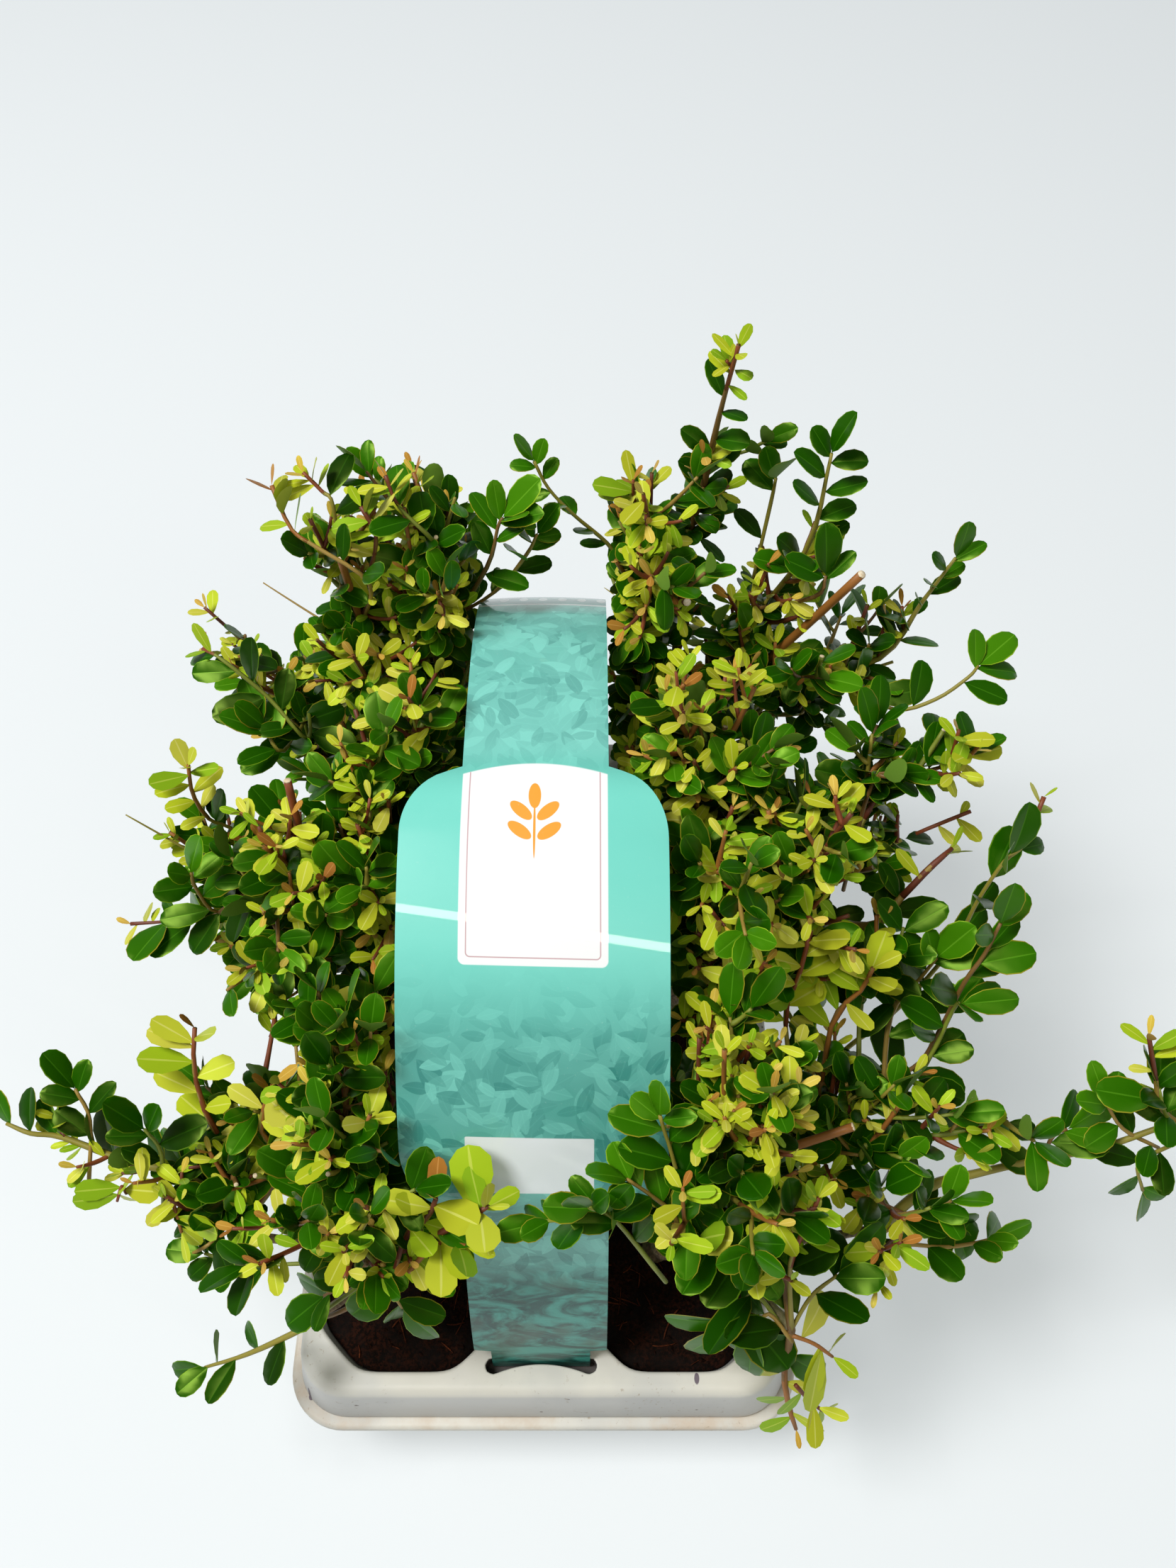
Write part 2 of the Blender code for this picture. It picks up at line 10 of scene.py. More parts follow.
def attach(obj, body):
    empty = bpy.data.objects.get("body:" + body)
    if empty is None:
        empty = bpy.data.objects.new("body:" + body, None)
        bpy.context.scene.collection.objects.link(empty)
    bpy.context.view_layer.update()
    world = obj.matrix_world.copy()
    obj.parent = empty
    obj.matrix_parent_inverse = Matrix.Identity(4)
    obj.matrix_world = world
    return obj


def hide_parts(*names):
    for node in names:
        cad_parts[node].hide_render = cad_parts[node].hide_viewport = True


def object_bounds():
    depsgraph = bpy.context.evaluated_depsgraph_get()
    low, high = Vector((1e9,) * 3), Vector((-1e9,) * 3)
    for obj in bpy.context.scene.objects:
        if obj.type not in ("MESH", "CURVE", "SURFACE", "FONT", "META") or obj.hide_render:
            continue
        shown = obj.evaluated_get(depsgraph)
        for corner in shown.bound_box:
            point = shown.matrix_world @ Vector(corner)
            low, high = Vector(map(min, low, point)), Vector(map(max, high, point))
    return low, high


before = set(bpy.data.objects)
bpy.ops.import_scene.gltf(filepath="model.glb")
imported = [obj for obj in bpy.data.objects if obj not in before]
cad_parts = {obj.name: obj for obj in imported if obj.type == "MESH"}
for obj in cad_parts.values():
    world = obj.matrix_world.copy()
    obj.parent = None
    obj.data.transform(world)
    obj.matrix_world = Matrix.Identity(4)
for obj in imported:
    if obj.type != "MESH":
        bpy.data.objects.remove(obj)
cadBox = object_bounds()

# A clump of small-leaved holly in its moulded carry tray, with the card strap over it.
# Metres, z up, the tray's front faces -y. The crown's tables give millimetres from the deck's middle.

up = np.array([0.0, 0.0, 1.0])

# Helpers for shapes

# each row scaled to length one
def unit(rows):
    return rows / np.maximum(np.linalg.norm(rows, axis=-1, keepdims=True), 1e-12)


# smooth random heights from -1 to 1: random values on a cubic lattice, eased between its corners
def softNoise(points, size, seed):
    lattice = np.random.default_rng(seed).uniform(-1, 1, (32, 32, 32))
    place = np.asarray(points) / size
    corner = np.floor(place).astype(int)
    ease = place - corner
    ease = ease * ease * (3 - 2 * ease)
    total = np.zeros(place.shape[:-1])
    for number in range(8):
        step = np.array([number & 1, number >> 1 & 1, number >> 2 & 1])
        share = np.where(step == 1, ease, 1 - ease).prod(axis=-1)
        index = (corner + step) % 32
        total += share * lattice[index[..., 0], index[..., 1], index[..., 2]]
    return total


# faces of a grid whose points run along the columns first; a wrapped one joins its last column to its first
def gridFaces(rows, columns, wrap=False):
    row = np.arange(rows - 1)[:, None] * columns
    column = np.arange(columns if wrap else columns - 1)[None]
    after = (column + 1) % columns
    corners = [row + column, row + after, row + columns + after, row + columns + column]
    return np.stack(corners, -1).reshape(-1, 4)


# one mesh object from arrays of points, four-sided and three-sided faces, and each face's material number
def makePiece(name, points, quads, tris, materials, quadSlots=None, triSlots=None, sharpAngle=None):
    points = np.asarray(points, np.float32).reshape(-1, 3)
    quads = np.asarray(quads, np.int32).reshape(-1, 4)
    tris = np.asarray(tris, np.int32).reshape(-1, 3)
    mesh = bpy.data.meshes.new(name)
    mesh.vertices.add(len(points))
    mesh.vertices.foreach_set("co", points.ravel())
    corners = np.concatenate([quads.ravel(), tris.ravel()])
    mesh.loops.add(len(corners))
    mesh.loops.foreach_set("vertex_index", corners)
    starts = np.concatenate([np.arange(len(quads)) * 4, len(quads) * 4 + np.arange(len(tris)) * 3])
    mesh.polygons.add(len(starts))
    mesh.polygons.foreach_set("loop_start", starts.astype(np.int32))
    slots = np.zeros(len(starts), np.int32)
    if quadSlots is not None:
        slots[: len(quads)] = quadSlots
    if triSlots is not None:
        slots[len(quads):] = triSlots
    mesh.polygons.foreach_set("material_index", slots)
    mesh.update(calc_edges=True)
    mesh.validate()
    mesh.shade_smooth()
    if sharpAngle:
        mesh.set_sharp_from_angle(angle=math.radians(sharpAngle))
    for material in materials:
        mesh.materials.append(material)
    piece = bpy.data.objects.new(name, mesh)
    bpy.context.scene.collection.objects.link(piece)
    return piece


# limbs as tubes: a ring round each place of each path, at the radius there and square to the path, and a
# point at the middle of each end
def tubes(paths, radii, sides):
    count, stations = radii.shape
    ahead = unit(np.gradient(paths, axis=1))
    chord = unit(paths[:, -1] - paths[:, 0])
    steady = np.where(np.abs(chord[:, 2:]) > 0.8, [[1.0, 0.0, 0.0]], [[0.0, 0.0, 1.0]])
    side = unit(np.cross(ahead, steady[:, None]))
    lift = np.cross(ahead, side)
    turn = np.linspace(0, 2 * math.pi, sides, endpoint=False)
    ring = np.cos(turn)[:, None] * side[:, :, None] + np.sin(turn)[:, None] * lift[:, :, None]
    body = paths[:, :, None] + ring * radii[:, :, None, None]
    ends = np.stack([paths[:, 0], paths[:, -1]], 1)
    points = np.concatenate([body.reshape(count, -1, 3), ends], 1)
    quads = gridFaces(stations, sides, wrap=True)
    column = np.arange(sides)
    after = (column + 1) % sides
    foot, tip = np.full(sides, stations * sides), np.full(sides, stations * sides + 1)
    last = (stations - 1) * sides
    tris = np.concatenate([
        np.stack([foot, after, column], -1),
        np.stack([tip, last + column, last + after], -1),
    ])
    offset = (np.arange(count) * points.shape[1])[:, None, None]
    return points.reshape(-1, 3), (quads[None] + offset).reshape(-1, 4), (tris[None] + offset).reshape(-1, 3)


# several sets of points and faces as one
def together(patches):
    points, quads, tris, done = [], [], [], 0
    for somePoints, someQuads, someTris in patches:
        points.append(np.asarray(somePoints, float).reshape(-1, 3))
        quads.append(np.asarray(someQuads, int).reshape(-1, 4) + done)
        tris.append(np.asarray(someTris, int).reshape(-1, 3) + done)
        done += len(points[-1])
    return np.concatenate(points), np.concatenate(quads), np.concatenate(tris)


# points that coincide become one, all faces of a closed shape point outwards, edges over an angle are sharp
def closeUp(piece, sharpAngle=None, near=2e-6):
    shape = bmesh.new()
    shape.from_mesh(piece.data)
    bmesh.ops.remove_doubles(shape, verts=shape.verts, dist=near)
    bmesh.ops.recalc_face_normals(shape, faces=shape.faces)
    shape.to_mesh(piece.data)
    shape.free()
    piece.data.shade_smooth()
    if sharpAngle:
        piece.data.set_sharp_from_angle(angle=math.radians(sharpAngle))


# a piece moves with the object's one body and stands in for the solids named
def settle(piece, slotName, *nodes):
    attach(piece, "root")
    if nodes:
        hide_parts(*nodes)


# Helpers for finishes

# a colour given as it looks on a screen, 0 to 255
def tint(red, green, blue):
    shown = np.array([red, green, blue]) / 255
    linear = np.where(shown <= 0.04045, shown / 12.92, ((shown + 0.055) / 1.055) ** 2.4)
    return (*map(float, linear), 1.0)


# a shader socket that can stand in sums
class Wire:
    def __init__(self, socket):
        self.socket = socket

    # a sum or the like of two sockets or numbers
    def maths(self, operation, first, second=0.0):
        node = self.socket.id_data.nodes.new("ShaderNodeMath")
        node.operation = operation
        for entry, value in zip(node.inputs, (first, second)):
            if isinstance(value, Wire):
                self.socket.id_data.links.new(value.socket, entry)
            else:
                entry.default_value = value
        return Wire(node.outputs[0])

    def __add__(self, other):
        return self.maths("ADD", self, other)

    __radd__ = __add__

    def __sub__(self, other):
        return self.maths("SUBTRACT", self, other)

    def __rsub__(self, other):
        return self.maths("SUBTRACT", other, self)

    def __mul__(self, other):
        return self.maths("MULTIPLY", self, other)

    __rmul__ = __mul__

    def __abs__(self):
        return self.maths("ABSOLUTE", self)

    def atLeast(self, other):
        return self.maths("MAXIMUM", self, other)

    def root(self):
        return self.maths("SQRT", self)


# a material whose nodes are added one call at a time
class Finish:
    def __init__(self, name, **fixed):
        self.material = bpy.data.materials.new(name)
        self.material.use_nodes = True
        self.tree = self.material.node_tree
        self.shader = self.tree.nodes["Principled BSDF"]
        self.put(self.shader, fixed)

    # values or links for a node's entries
    def put(self, node, values):
        for name, value in values.items():
            entry = node.inputs[name]
            if isinstance(value, Wire):
                self.tree.links.new(value.socket, entry)
            else:
                entry.default_value = value

    # a node with its settings and values; gives all of its outputs
    def node(self, kind, settings=None, values=None):
        node = self.tree.nodes.new("ShaderNode" + kind)
        for name, value in (settings or {}).items():
            setattr(node, name, value)
        self.put(node, values or {})
        return [Wire(socket) for socket in node.outputs]

    # the same, but gives one output
    def add(self, kind, settings=None, values=None, out=0):
        return self.node(kind, settings, values)[out]

    # one colour where the mask is 0, another where it is 1
    def mix(self, mask, first, second):
        return self.add("Mix", {"data_type": "RGBA"}, {0: mask, 6: first, 7: second}, 2)

    # the finish so far, with a colour laid over it where the mask is 1
    def paint(self, mask, *colour):
        self.shown = self.mix(mask, self.shown, tint(*colour))

    # a smooth rise from 0 to 1 between two values
    def rise(self, value, low, high):
        settings = {"interpolation_type": "SMOOTHSTEP"}
        return self.add("MapRange", settings, {"Value": value, "From Min": low, "From Max": high})

    # the place on the piece, in metres
    def place(self):
        return self.add("TexCoord", out=3)

    # cloudy noise round 0.5, finer for a larger scale
    def noise(self, where, scale, detail=3.0, rough=0.55):
        values = {"Vector": where, "Scale": scale, "Detail": detail, "Roughness": rough}
        return self.add("TexNoise", None, values)

    # the material, once its surface has these values
    def wear(self, **values):
        self.put(self.shader, values)
        return self.material

    # a surface raised a little by a height
    def bump(self, height, strength, distance):
        return self.add("Bump", None, {"Strength": strength, "Distance": distance, "Height": height})


# Camera, light and floor

sight = {
    # focal length and picture in pixels; the tilt is from straight down
    "focal": 1800.0, "picture": (1659.0, 2212.0), "sensor": 36.0, "tilt": 35.0,
    "place": (-0.0058, -0.2368, 0.591),
}
light = {
    "floor": (174, 177, 178), "floorGlow": (166, 171, 173), "floorHalf": 4.0,
    "sky": (0.97, 0.985, 1.0, 1.0), "skyStrength": 0.18,
    # place, power and size of each lamp
    "key": ((-1.35, -0.2, 2.7), 87.0, 1.0), "fill": ((1.6, -1.4, 1.6), 6.0, 1.2),
}

tilt = math.radians(sight["tilt"])
camera = bpy.data.objects.new("camera", bpy.data.cameras.new("camera"))
camera.data.sensor_width = sight["sensor"]
camera.data.lens = sight["focal"] / sight["picture"][1] * sight["sensor"]
camera.data.clip_start = 0.01
camera.location = sight["place"]
camera.rotation_euler = (tilt, 0, 0)
bpy.context.scene.collection.objects.link(camera)
bpy.context.scene.camera = camera

eye = np.array(sight["place"])
aim, above = np.array([0, math.sin(tilt), -math.cos(tilt)]), np.array([0, math.cos(tilt), math.sin(tilt)])


# where places stand in the picture, across and down, by their depth before the camera
def inPicture(places):
    seen = places - eye
    deep = seen @ aim
    wide, tall = sight["picture"]
    return wide / 2 + sight["focal"] * seen[..., 0] / deep, tall / 2 - sight["focal"] * (seen @ above) / deep


# a soft lamp, square or a strip, that looks at the middle of the crown
def addLamp(name, place, power, wide, tall=None, target=(0, 0, 0.15)):
    data = bpy.data.lights.new(name, "AREA")
    data.energy = power
    data.size = wide
    if tall:
        data.shape = "RECTANGLE"
        data.size_y = tall
    lamp = bpy.data.objects.new(name, data)
    lamp.location = place
    lamp.rotation_euler = (Vector(place) - Vector(target)).to_track_quat("Z", "Y").to_euler()
    bpy.context.scene.collection.objects.link(lamp)
    return lamp


for name in ("key", "fill"):
    addLamp(name, *light[name])

world = bpy.data.worlds.new("studio")
world.use_nodes = True
background = world.node_tree.nodes["Background"]
background.inputs["Color"].default_value = light["sky"]
background.inputs["Strength"].default_value = light["skyStrength"]
bpy.context.scene.world = world
bpy.context.scene.view_settings.view_transform = "Standard"  # colours as a plain photograph shows them

floorPoints = np.array([(-1, -1, 0), (1, -1, 0), (1, 1, 0), (-1, 1, 0)]) * light["floorHalf"]
floorFinish = Finish("floor pale", **{"Base Color": tint(*light["floor"]), "Roughness": 0.95,
                                      "Emission Color": tint(*light["floorGlow"]), "Emission Strength": 1.0})
floor = makePiece("floor", floorPoints, [(0, 1, 2, 3)], [], [floorFinish.material])
print("camera, light and floor set")

# The tray

tray = {
    "x": -0.0235, "y": 0.0018, "width": 0.199, "length": 0.320, "height": 0.070, "wall": 0.0012,
    "skirt": 0.031, "lipWidth": 0.0042, "lipHeight": 0.0050, "draft": 0.0030, "round": 0.0040,
    "corner": 0.022, "hollowRound": 0.0022, "edgeRound": 0.0016,
    "pitchX": 0.0895, "pitchY": 0.0980, "cellX": 0.0415, "cellY": 0.0460, "cellCorner": 0.017,
    "padCorner": 0.030, "floorScale": 0.80, "cellRoll": 0.0015, "softCorner": 0.0042,
    "slotFromEnd": 0.0195, "slotHalf": 0.018, "slotBack": 0.0010, "slotBow": 0.0036, "slotRoll": 0.0006,
    "slotDeep": 0.0096, "slotEye": ((0.0205, -0.0036), (0.0213, -0.0014), (0.0200, 0.0010)),
    # smears of ink: x, y, half width, half length
    "ink": ((0.0351, -0.1448, 0.0010, 0.0022), (-0.1141, -0.1466, 0.0010, 0.0016)),
}
rows = {"front": -1, "middle": 0, "back": 1}
sides = {"left": -1, "right": 1}
middle = np.array([tray["x"], tray["y"], tray["height"]])
top, wall = tray["height"], tray["wall"]
slotY = tray["length"] / 2 - tray["slotFromEnd"]


# points at even steps along a closed line, rounded off by a bell-shaped average
def evenRing(corners, count, soft):
    corners = np.asarray(corners, float)
    closed = np.concatenate([corners, corners[:1]])
    run = np.concatenate([[0], np.cumsum(np.linalg.norm(np.diff(closed, axis=0), axis=1))])
    fine = 720
    along = np.linspace(0, run[-1], fine, endpoint=False)
    line = np.stack([np.interp(along, run, closed[:, k]) for k in (0, 1)], 1)
    away = np.minimum(along, run[-1] - along)
    bell = np.exp(-0.5 * (away / soft) ** 2)
    bell = np.fft.rfft(bell / bell.sum())[:, None]
    line = np.fft.irfft(np.fft.rfft(line, axis=0) * bell, n=fine, axis=0)
    return line[:: fine // count]


# a closed line moved outwards by a distance, square to itself
def offsetRing(ring, distance):
    ahead = unit(np.roll(ring, -1, 0) - np.roll(ring, 1, 0))
    return ring + np.stack([ahead[:, 1], -ahead[:, 0]], 1) * distance


# a cell's opening round its own middle: a rectangle with cut corners, the wide one beside a strap slot
def cellRing(side, row):
    points = []
    for signX, signY in ((1, 1), (-1, 1), (-1, -1), (1, -1)):
        bySlot = signX == -sides[side] and signY == rows[row]
        cut = tray["padCorner"] if bySlot else tray["cellCorner"]
        along = (signX * (tray["cellX"] - cut), signY * tray["cellY"])
        across = (signX * tray["cellX"], signY * (tray["cellY"] - cut))
        points += [across, along] if signX == signY else [along, across]
    return evenRing(points, 120, tray["softCorner"])


# the middle of a cell, from the tray's middle
def cellMiddle(side, row):
    return np.array([sides[side] * tray["pitchX"] / 2, rows[row] * tray["pitchY"]])


# a strap slot: straight at the back, bowed in at the front, with a wide eye at each end
def slotRing(end):
    x = np.linspace(1, -1, 41) * tray["slotHalf"]
    front = np.stack([-x, -tray["slotBack"] - tray["slotBow"] * (x / tray["slotHalf"]) ** 2], 1)
    wideEnd = np.array(tray["slotEye"])
    ring = np.concatenate([front, wideEnd, wideEnd[::-1] * [-1, 1]])
    if end > 0:
        ring = ring[::-1] * [1, -1]
    return evenRing(ring, 72, 0.0005) + [0, end * slotY]


# a rounded rectangle a distance inside the tray's outermost edge
def trayRing(inset):
    radius = tray["corner"] - inset / 2
    turn = np.concatenate([np.linspace(0, 90, 13) + 90 * k for k in range(4)])
    quarter = np.repeat(np.arange(4), 13)
    signX, signY = np.array([1, -1, -1, 1])[quarter], np.array([1, 1, -1, -1])[quarter]
    halfX, halfY = tray["width"] / 2 - inset - radius, tray["length"] / 2 - inset - radius
    turn = np.radians(turn)
    return np.stack([signX * halfX + radius * np.cos(turn), signY * halfY + radius * np.sin(turn)], 1)


# flat closed lines at heights, given from the tray's middle, as rows of points in the frame
def stack(rings, heights):
    level = [np.column_stack([ring + middle[:2], np.full(len(ring), z)]) for ring, z in zip(rings, heights)]
    return np.stack(level)


# a band of faces from each closed line to the next
def band(rings, heights):
    points = stack(rings, heights)
    return points.reshape(-1, 3), gridFaces(len(points), points.shape[1], wrap=True), []


# three-sided faces from each side of a closed line of points to the point that follows them
def fanTris(count):
    column = np.arange(count)
    return np.stack([column, (column + 1) % count, np.full(count, count)], -1)


# a fan from a closed line to its middle
def fan(ring, height):
    points = np.concatenate([stack([ring], [height])[0], [[*(ring.mean(0) + middle[:2]), height]]])
    return points, [], fanTris(len(ring))


# which places lie inside a closed line, by the turns that it makes round them
def insideRing(places, ring):
    first = ring[None] - places[:, None]
    second = np.roll(first, -1, 1)
    cross = first[..., 0] * second[..., 1] - first[..., 1] * second[..., 0]
    turns = np.arctan2(cross, (first * second).sum(-1)).sum(1)
    return np.abs(turns) > math.pi


# a flat plate inside one closed line and outside the others
def plate(outline, holes, height):
    rings = [outline, *holes]
    flat = np.concatenate(rings)
    edges, done = [], 0
    for ring in rings:
        edges += [(done + k, done + (k + 1) % len(ring)) for k in range(len(ring))]
        done += len(ring)
    places, _, faces, *_ = delaunay_2d_cdt([Vector(p) for p in flat], edges, [], 0, 1e-7)
    places, faces = np.array(places), np.array(faces)
    centre = places[faces].mean(1)
    keep = insideRing(centre, outline)
    for hole in holes:
        keep &= ~insideRing(centre, hole)
    points = np.column_stack([places + middle[:2], np.full(len(places), height)])
    return points, [], faces[keep]


# how much narrower a cup is inside at a height than at its edge
def hollowScale(z):
    floorScale = tray["floorScale"] - tray["wall"] / tray["cellX"]
    share = (z - tray["wall"]) / (tray["height"] - tray["wall"])
    return floorScale + (1 - floorScale) * share


cells = [(side, row) for row in rows for side in sides]
openings = {cell: cellRing(*cell) for cell in cells}
patches, topHoles, underHoles = [], [], []


# a hole's rolled edge: steps outwards from its line, and their heights
def rolledEdge(roll, lead):
    quarter = np.radians(np.linspace(0, 90, 6))
    return [roll + lead, *(roll * (1 - np.sin(quarter)))], [top, *(top - roll * (1 - np.cos(quarter)))]


# a hollow from a hole in a flat plate to its last closed line, where a fan closes it
def addHollow(rings, heights, holes):
    patches.extend([band(rings, heights), fan(rings[-1], heights[-1])])
    holes.append(rings[0])


for cell in cells:
    ring, centre = openings[cell], cellMiddle(*cell)
    # over the rolled edge, down inside the cup and across its floor
    outs, heights = rolledEdge(tray["cellRoll"], 0.0003)
    down = [top - 0.012, top * 0.5, wall + 0.004, wall + 0.001]
    rings = [centre + offsetRing(ring, out) for out in outs] + [centre + ring * hollowScale(z) for z in down]
    rings.append(centre + ring * hollowScale(wall) * 0.975)
    addHollow(rings, [*heights, *down, wall], topHoles)
    # the cup's outside, from under the deck to its foot
    down = [top - wall, top * 0.5, 0.002]
    cup = [centre + offsetRing(ring * hollowScale(z), wall * 1.1) for z in down]
    addHollow([*cup, centre + ring * hollowScale(0.0)], [*down, 0.0], underHoles)
for end in (-1, 1):
    # a blind pocket for the strap's tongue
    ring, deep = slotRing(end), top - tray["slotDeep"]
    outs, heights = rolledEdge(tray["slotRoll"], 0.0002)
    addHollow([offsetRing(ring, out) for out in (*outs, 0.0, 0.0)], [*heights, top - 0.002, deep], topHoles)
    addHollow([offsetRing(ring, wall * 0.8)] * 2, [top - wall, deep - wall], underHoles)


# part of a circle in the skirt's section, as insets and heights, between two angles in degrees
def arc(inset, z, radius, first, last, count):
    turn = np.radians(np.linspace(first, last, count))
    return [(inset + abs(radius) * (1 - math.sin(a)), z - radius * (1 - math.cos(a))) for a in turn]


# the skirt's section: round the deck's edge, down the sloping wall, out over the lip and back underneath
low, lip = top - tray["skirt"], tray["lipWidth"]
outer, lipTop = lip + tray["draft"], low + tray["lipHeight"]
section = [(outer + tray["round"] + 0.0004, top), *arc(outer, top, tray["round"], 0, 84, 9)]
section += arc(lip - 0.0002, lipTop, -tray["hollowRound"], 75, 8, 6)
section += arc(0.0, lipTop, tray["edgeRound"], 0, 90, 6)
section += [(0.0, low + 0.0012), (0.0002, low), (wall - 0.0002, low), (wall, lipTop - wall)]
section += [(lip + wall, lipTop - 0.0006), (outer + wall, top - 0.0055)]
section += [(outer + 0.0026, top - wall - 0.0004), (outer + 0.0030, top - wall)]
skirt = [trayRing(inset) for inset, _ in section]
patches += [band(skirt, [z for _, z in section]), plate(skirt[0], topHoles, top)]
patches.append(plate(skirt[-1], underHoles, top - wall))


# moulded white plastic: cloudy greys, a warm stain on the lip, painted shade on the walls below the deck's
# edge, grime, specks of soil, ink and painted shade inside the slots
def trayFinish():
    coat = Finish("tray plastic")
    where = coat.place()
    across, along, height = coat.node("SeparateXYZ", None, {"Vector": where})
    cloud, fine = coat.noise(where, 22, 4), coat.noise(where, 160, 3)
    coat.shown = coat.mix(coat.rise(cloud, 0.38, 0.66), tint(208, 205, 194), tint(192, 191, 184))
    onLip = 1 - coat.rise(height, low + 0.006, low + 0.010)
    stain = onLip * coat.rise(coat.noise(where, 34, 5, 0.65), 0.40, 0.68)
    coat.paint(stain * 0.75, 190, 168, 142)
    # painted shade: the walls below the deck's edge, down to the lip, are painted greyer than the deck
    wallShade = coat.rise(height, low + 0.004, low + 0.008) * (1 - coat.rise(height, top - 0.005, top - 0.001))
    coat.paint(wallShade * 0.60, 184, 184, 184)
    grime = coat.rise(coat.noise(where, 420, 5, 0.7), 0.60, 0.68) * coat.rise(cloud, 0.40, 0.60)
    coat.paint(grime * 0.7, 150, 132, 108)
    dots = coat.add("TexVoronoi", None, {"Vector": where, "Scale": 150.0})
    specks = (1 - coat.rise(dots, 0.07, 0.12)) * coat.rise(coat.noise(where, 60, 2), 0.54, 0.60)
    coat.paint(specks * 0.85, 74, 52, 36)
    for x, y, wide, long in tray["ink"]:
        smearX, smearY = (across - x) * (1 / wide), (along - y) * (1 / long)
        smear = 1 - coat.rise(smearX * smearX + smearY * smearY + (fine - 0.5) * 1.5, 0.5, 1.0)
        coat.paint(smear * coat.rise(height, low, top - 0.03) * 0.85, 62, 34, 66)
    # painted shade: the slots' pockets, below their rolled edges, are painted near-black brown
    inSlot = 1 - coat.rise(abs(abs(along - tray["y"]) - slotY), 0.006, 0.007)
    inSlot = inSlot * (1 - coat.rise(abs(across - tray["x"]), 0.022, 0.023))
    slotShade = inSlot * (1 - coat.rise(height, top - 0.0016, top - 0.0006))
    slotShade = slotShade * coat.rise(height, low + 0.004, low + 0.006)
    coat.paint(slotShade * 0.94, 40, 26, 18)
    rough = 0.40 + coat.rise(cloud, 0.3, 0.7) * 0.18 + grime * 0.2
    pitted = coat.bump(fine, 0.10, 0.0006)
    return coat.wear(**{"Base Color": coat.shown, "Roughness": rough, "Normal": pitted})


trayPiece = makePiece("carryTray", *together(patches), [trayFinish()])
closeUp(trayPiece, 50)
settle(trayPiece, "tray_plastic", "tray")
print("tray moulded", len(trayPiece.data.polygons))

# The potting soil

soil = {
    "belowDeck": 0.006, "mound": 0.0026, "rough": 0.0011, "rings": 40, "chips": 150, "fibres": 70, "seed": 11,
    "lumps": ((0.0075, 3, 0.9), (0.0032, 4, 0.7), (0.0014, 5, 0.45)),  # size, seed, strength
}


# height of the soil: a low mound with lumps of three sizes, sunk a little at the cup's wall
def soilHeight(flat, share):
    where = np.concatenate([flat, np.zeros((*flat.shape[:-1], 1))], -1)
    lumps = sum(softNoise(where, size, seed) * strength for size, seed, strength in soil["lumps"])
    level = top - soil["belowDeck"] + soil["mound"] * (1 - share**2) - 0.0012 * share**12
    return level + lumps * soil["rough"]


dice = np.random.default_rng(soil["seed"])
soilPatches, chipPlaces, fibrePaths = [], [], []
for cell in cells:
    ring, centre = openings[cell], cellMiddle(*cell)
    level = hollowScale(top - soil["belowDeck"]) * 0.99
    share = np.linspace(1, 0.02, soil["rings"])[:, None]
    flat = centre + ring[None] * (share * level)[..., None]
    surface = np.concatenate([flat + middle[:2], soilHeight(flat, share)[..., None]], -1)
    depths = (wall + 0.0004, top * 0.5)
    base = [centre + ring * hollowScale(z) * 0.985 for z in depths]
    body = np.concatenate([stack(base, depths), surface])
    soilPatches += [(body, gridFaces(len(body), body.shape[1], wrap=True), []), fan(base[0], depths[0])]
    soilPatches.append((np.concatenate([body[-1], [body[-1].mean(0)]]), [], fanTris(len(ring))))
    # chips and fibres lie on the surface anywhere within the cup
    for count, isFibre in ((soil["chips"], False), (soil["fibres"], True)):
        pick = dice.integers(0, len(ring), count)
        share = np.sqrt(dice.uniform(0, 0.97, count))
        spot = centre + ring[pick] * (share * level)[:, None]
        if not isFibre:
            chipPlaces.append(np.column_stack([spot + middle[:2], soilHeight(spot, share)]))
            continue
        # a fibre lies in a shallow curve, kept where the whole of it is within the cup
        heading = dice.uniform(0, 2 * math.pi, count)
        length = dice.uniform(0.003, 0.011, count)
        t = np.linspace(-0.5, 0.5, 6)
        bow = dice.uniform(-0.3, 0.3, count)[:, None] * (t**2)
        ahead = np.stack([np.cos(heading), np.sin(heading)], 1)
        aside = np.stack([-ahead[:, 1], ahead[:, 0]], 1)
        curve = ahead[:, None] * t[:, None] + aside[:, None] * bow[..., None]
        line = spot[:, None] + length[:, None, None] * curve
        inside = insideRing((line[:, 0] - centre) / level / 0.97, ring)
        inside &= insideRing((line[:, -1] - centre) / level / 0.97, ring)
        line = line[inside]
        z = soilHeight(line, np.zeros(line.shape[:2]) + share[inside][:, None]) + 0.0006
        fibrePaths.append(np.concatenate([line + middle[:2], z[..., None]], -1))


# fibrous compost or wood from dark to light by its grain, damp in patches
def soilFinish(name, dark, light, bumpy):
    coat = Finish(name)
    where = coat.place()
    grain, patch = coat.noise(where, 700, 6, 0.7), coat.noise(where, 90, 3)
    mask = coat.rise(grain, 0.40, 0.62) * coat.rise(patch, 0.30, 0.70)
    return coat.wear(**{"Base Color": coat.mix(mask, tint(*dark), tint(*light)), "Specular IOR Level": 0.12,
                        "Roughness": 0.78 + coat.rise(patch, 0.4, 0.6) * 0.17,
                        "Normal": coat.bump(grain, 0.5, bumpy)})


compost = soilFinish("compost", (8, 3, 1), (46, 20, 9), 0.0012)
soilPiece = makePiece("pottingSoil", *together(soilPatches), [compost])
closeUp(soilPiece)
settle(soilPiece, "potting_soil", *[f"soil_{side}_{row}" for side, row in cells])

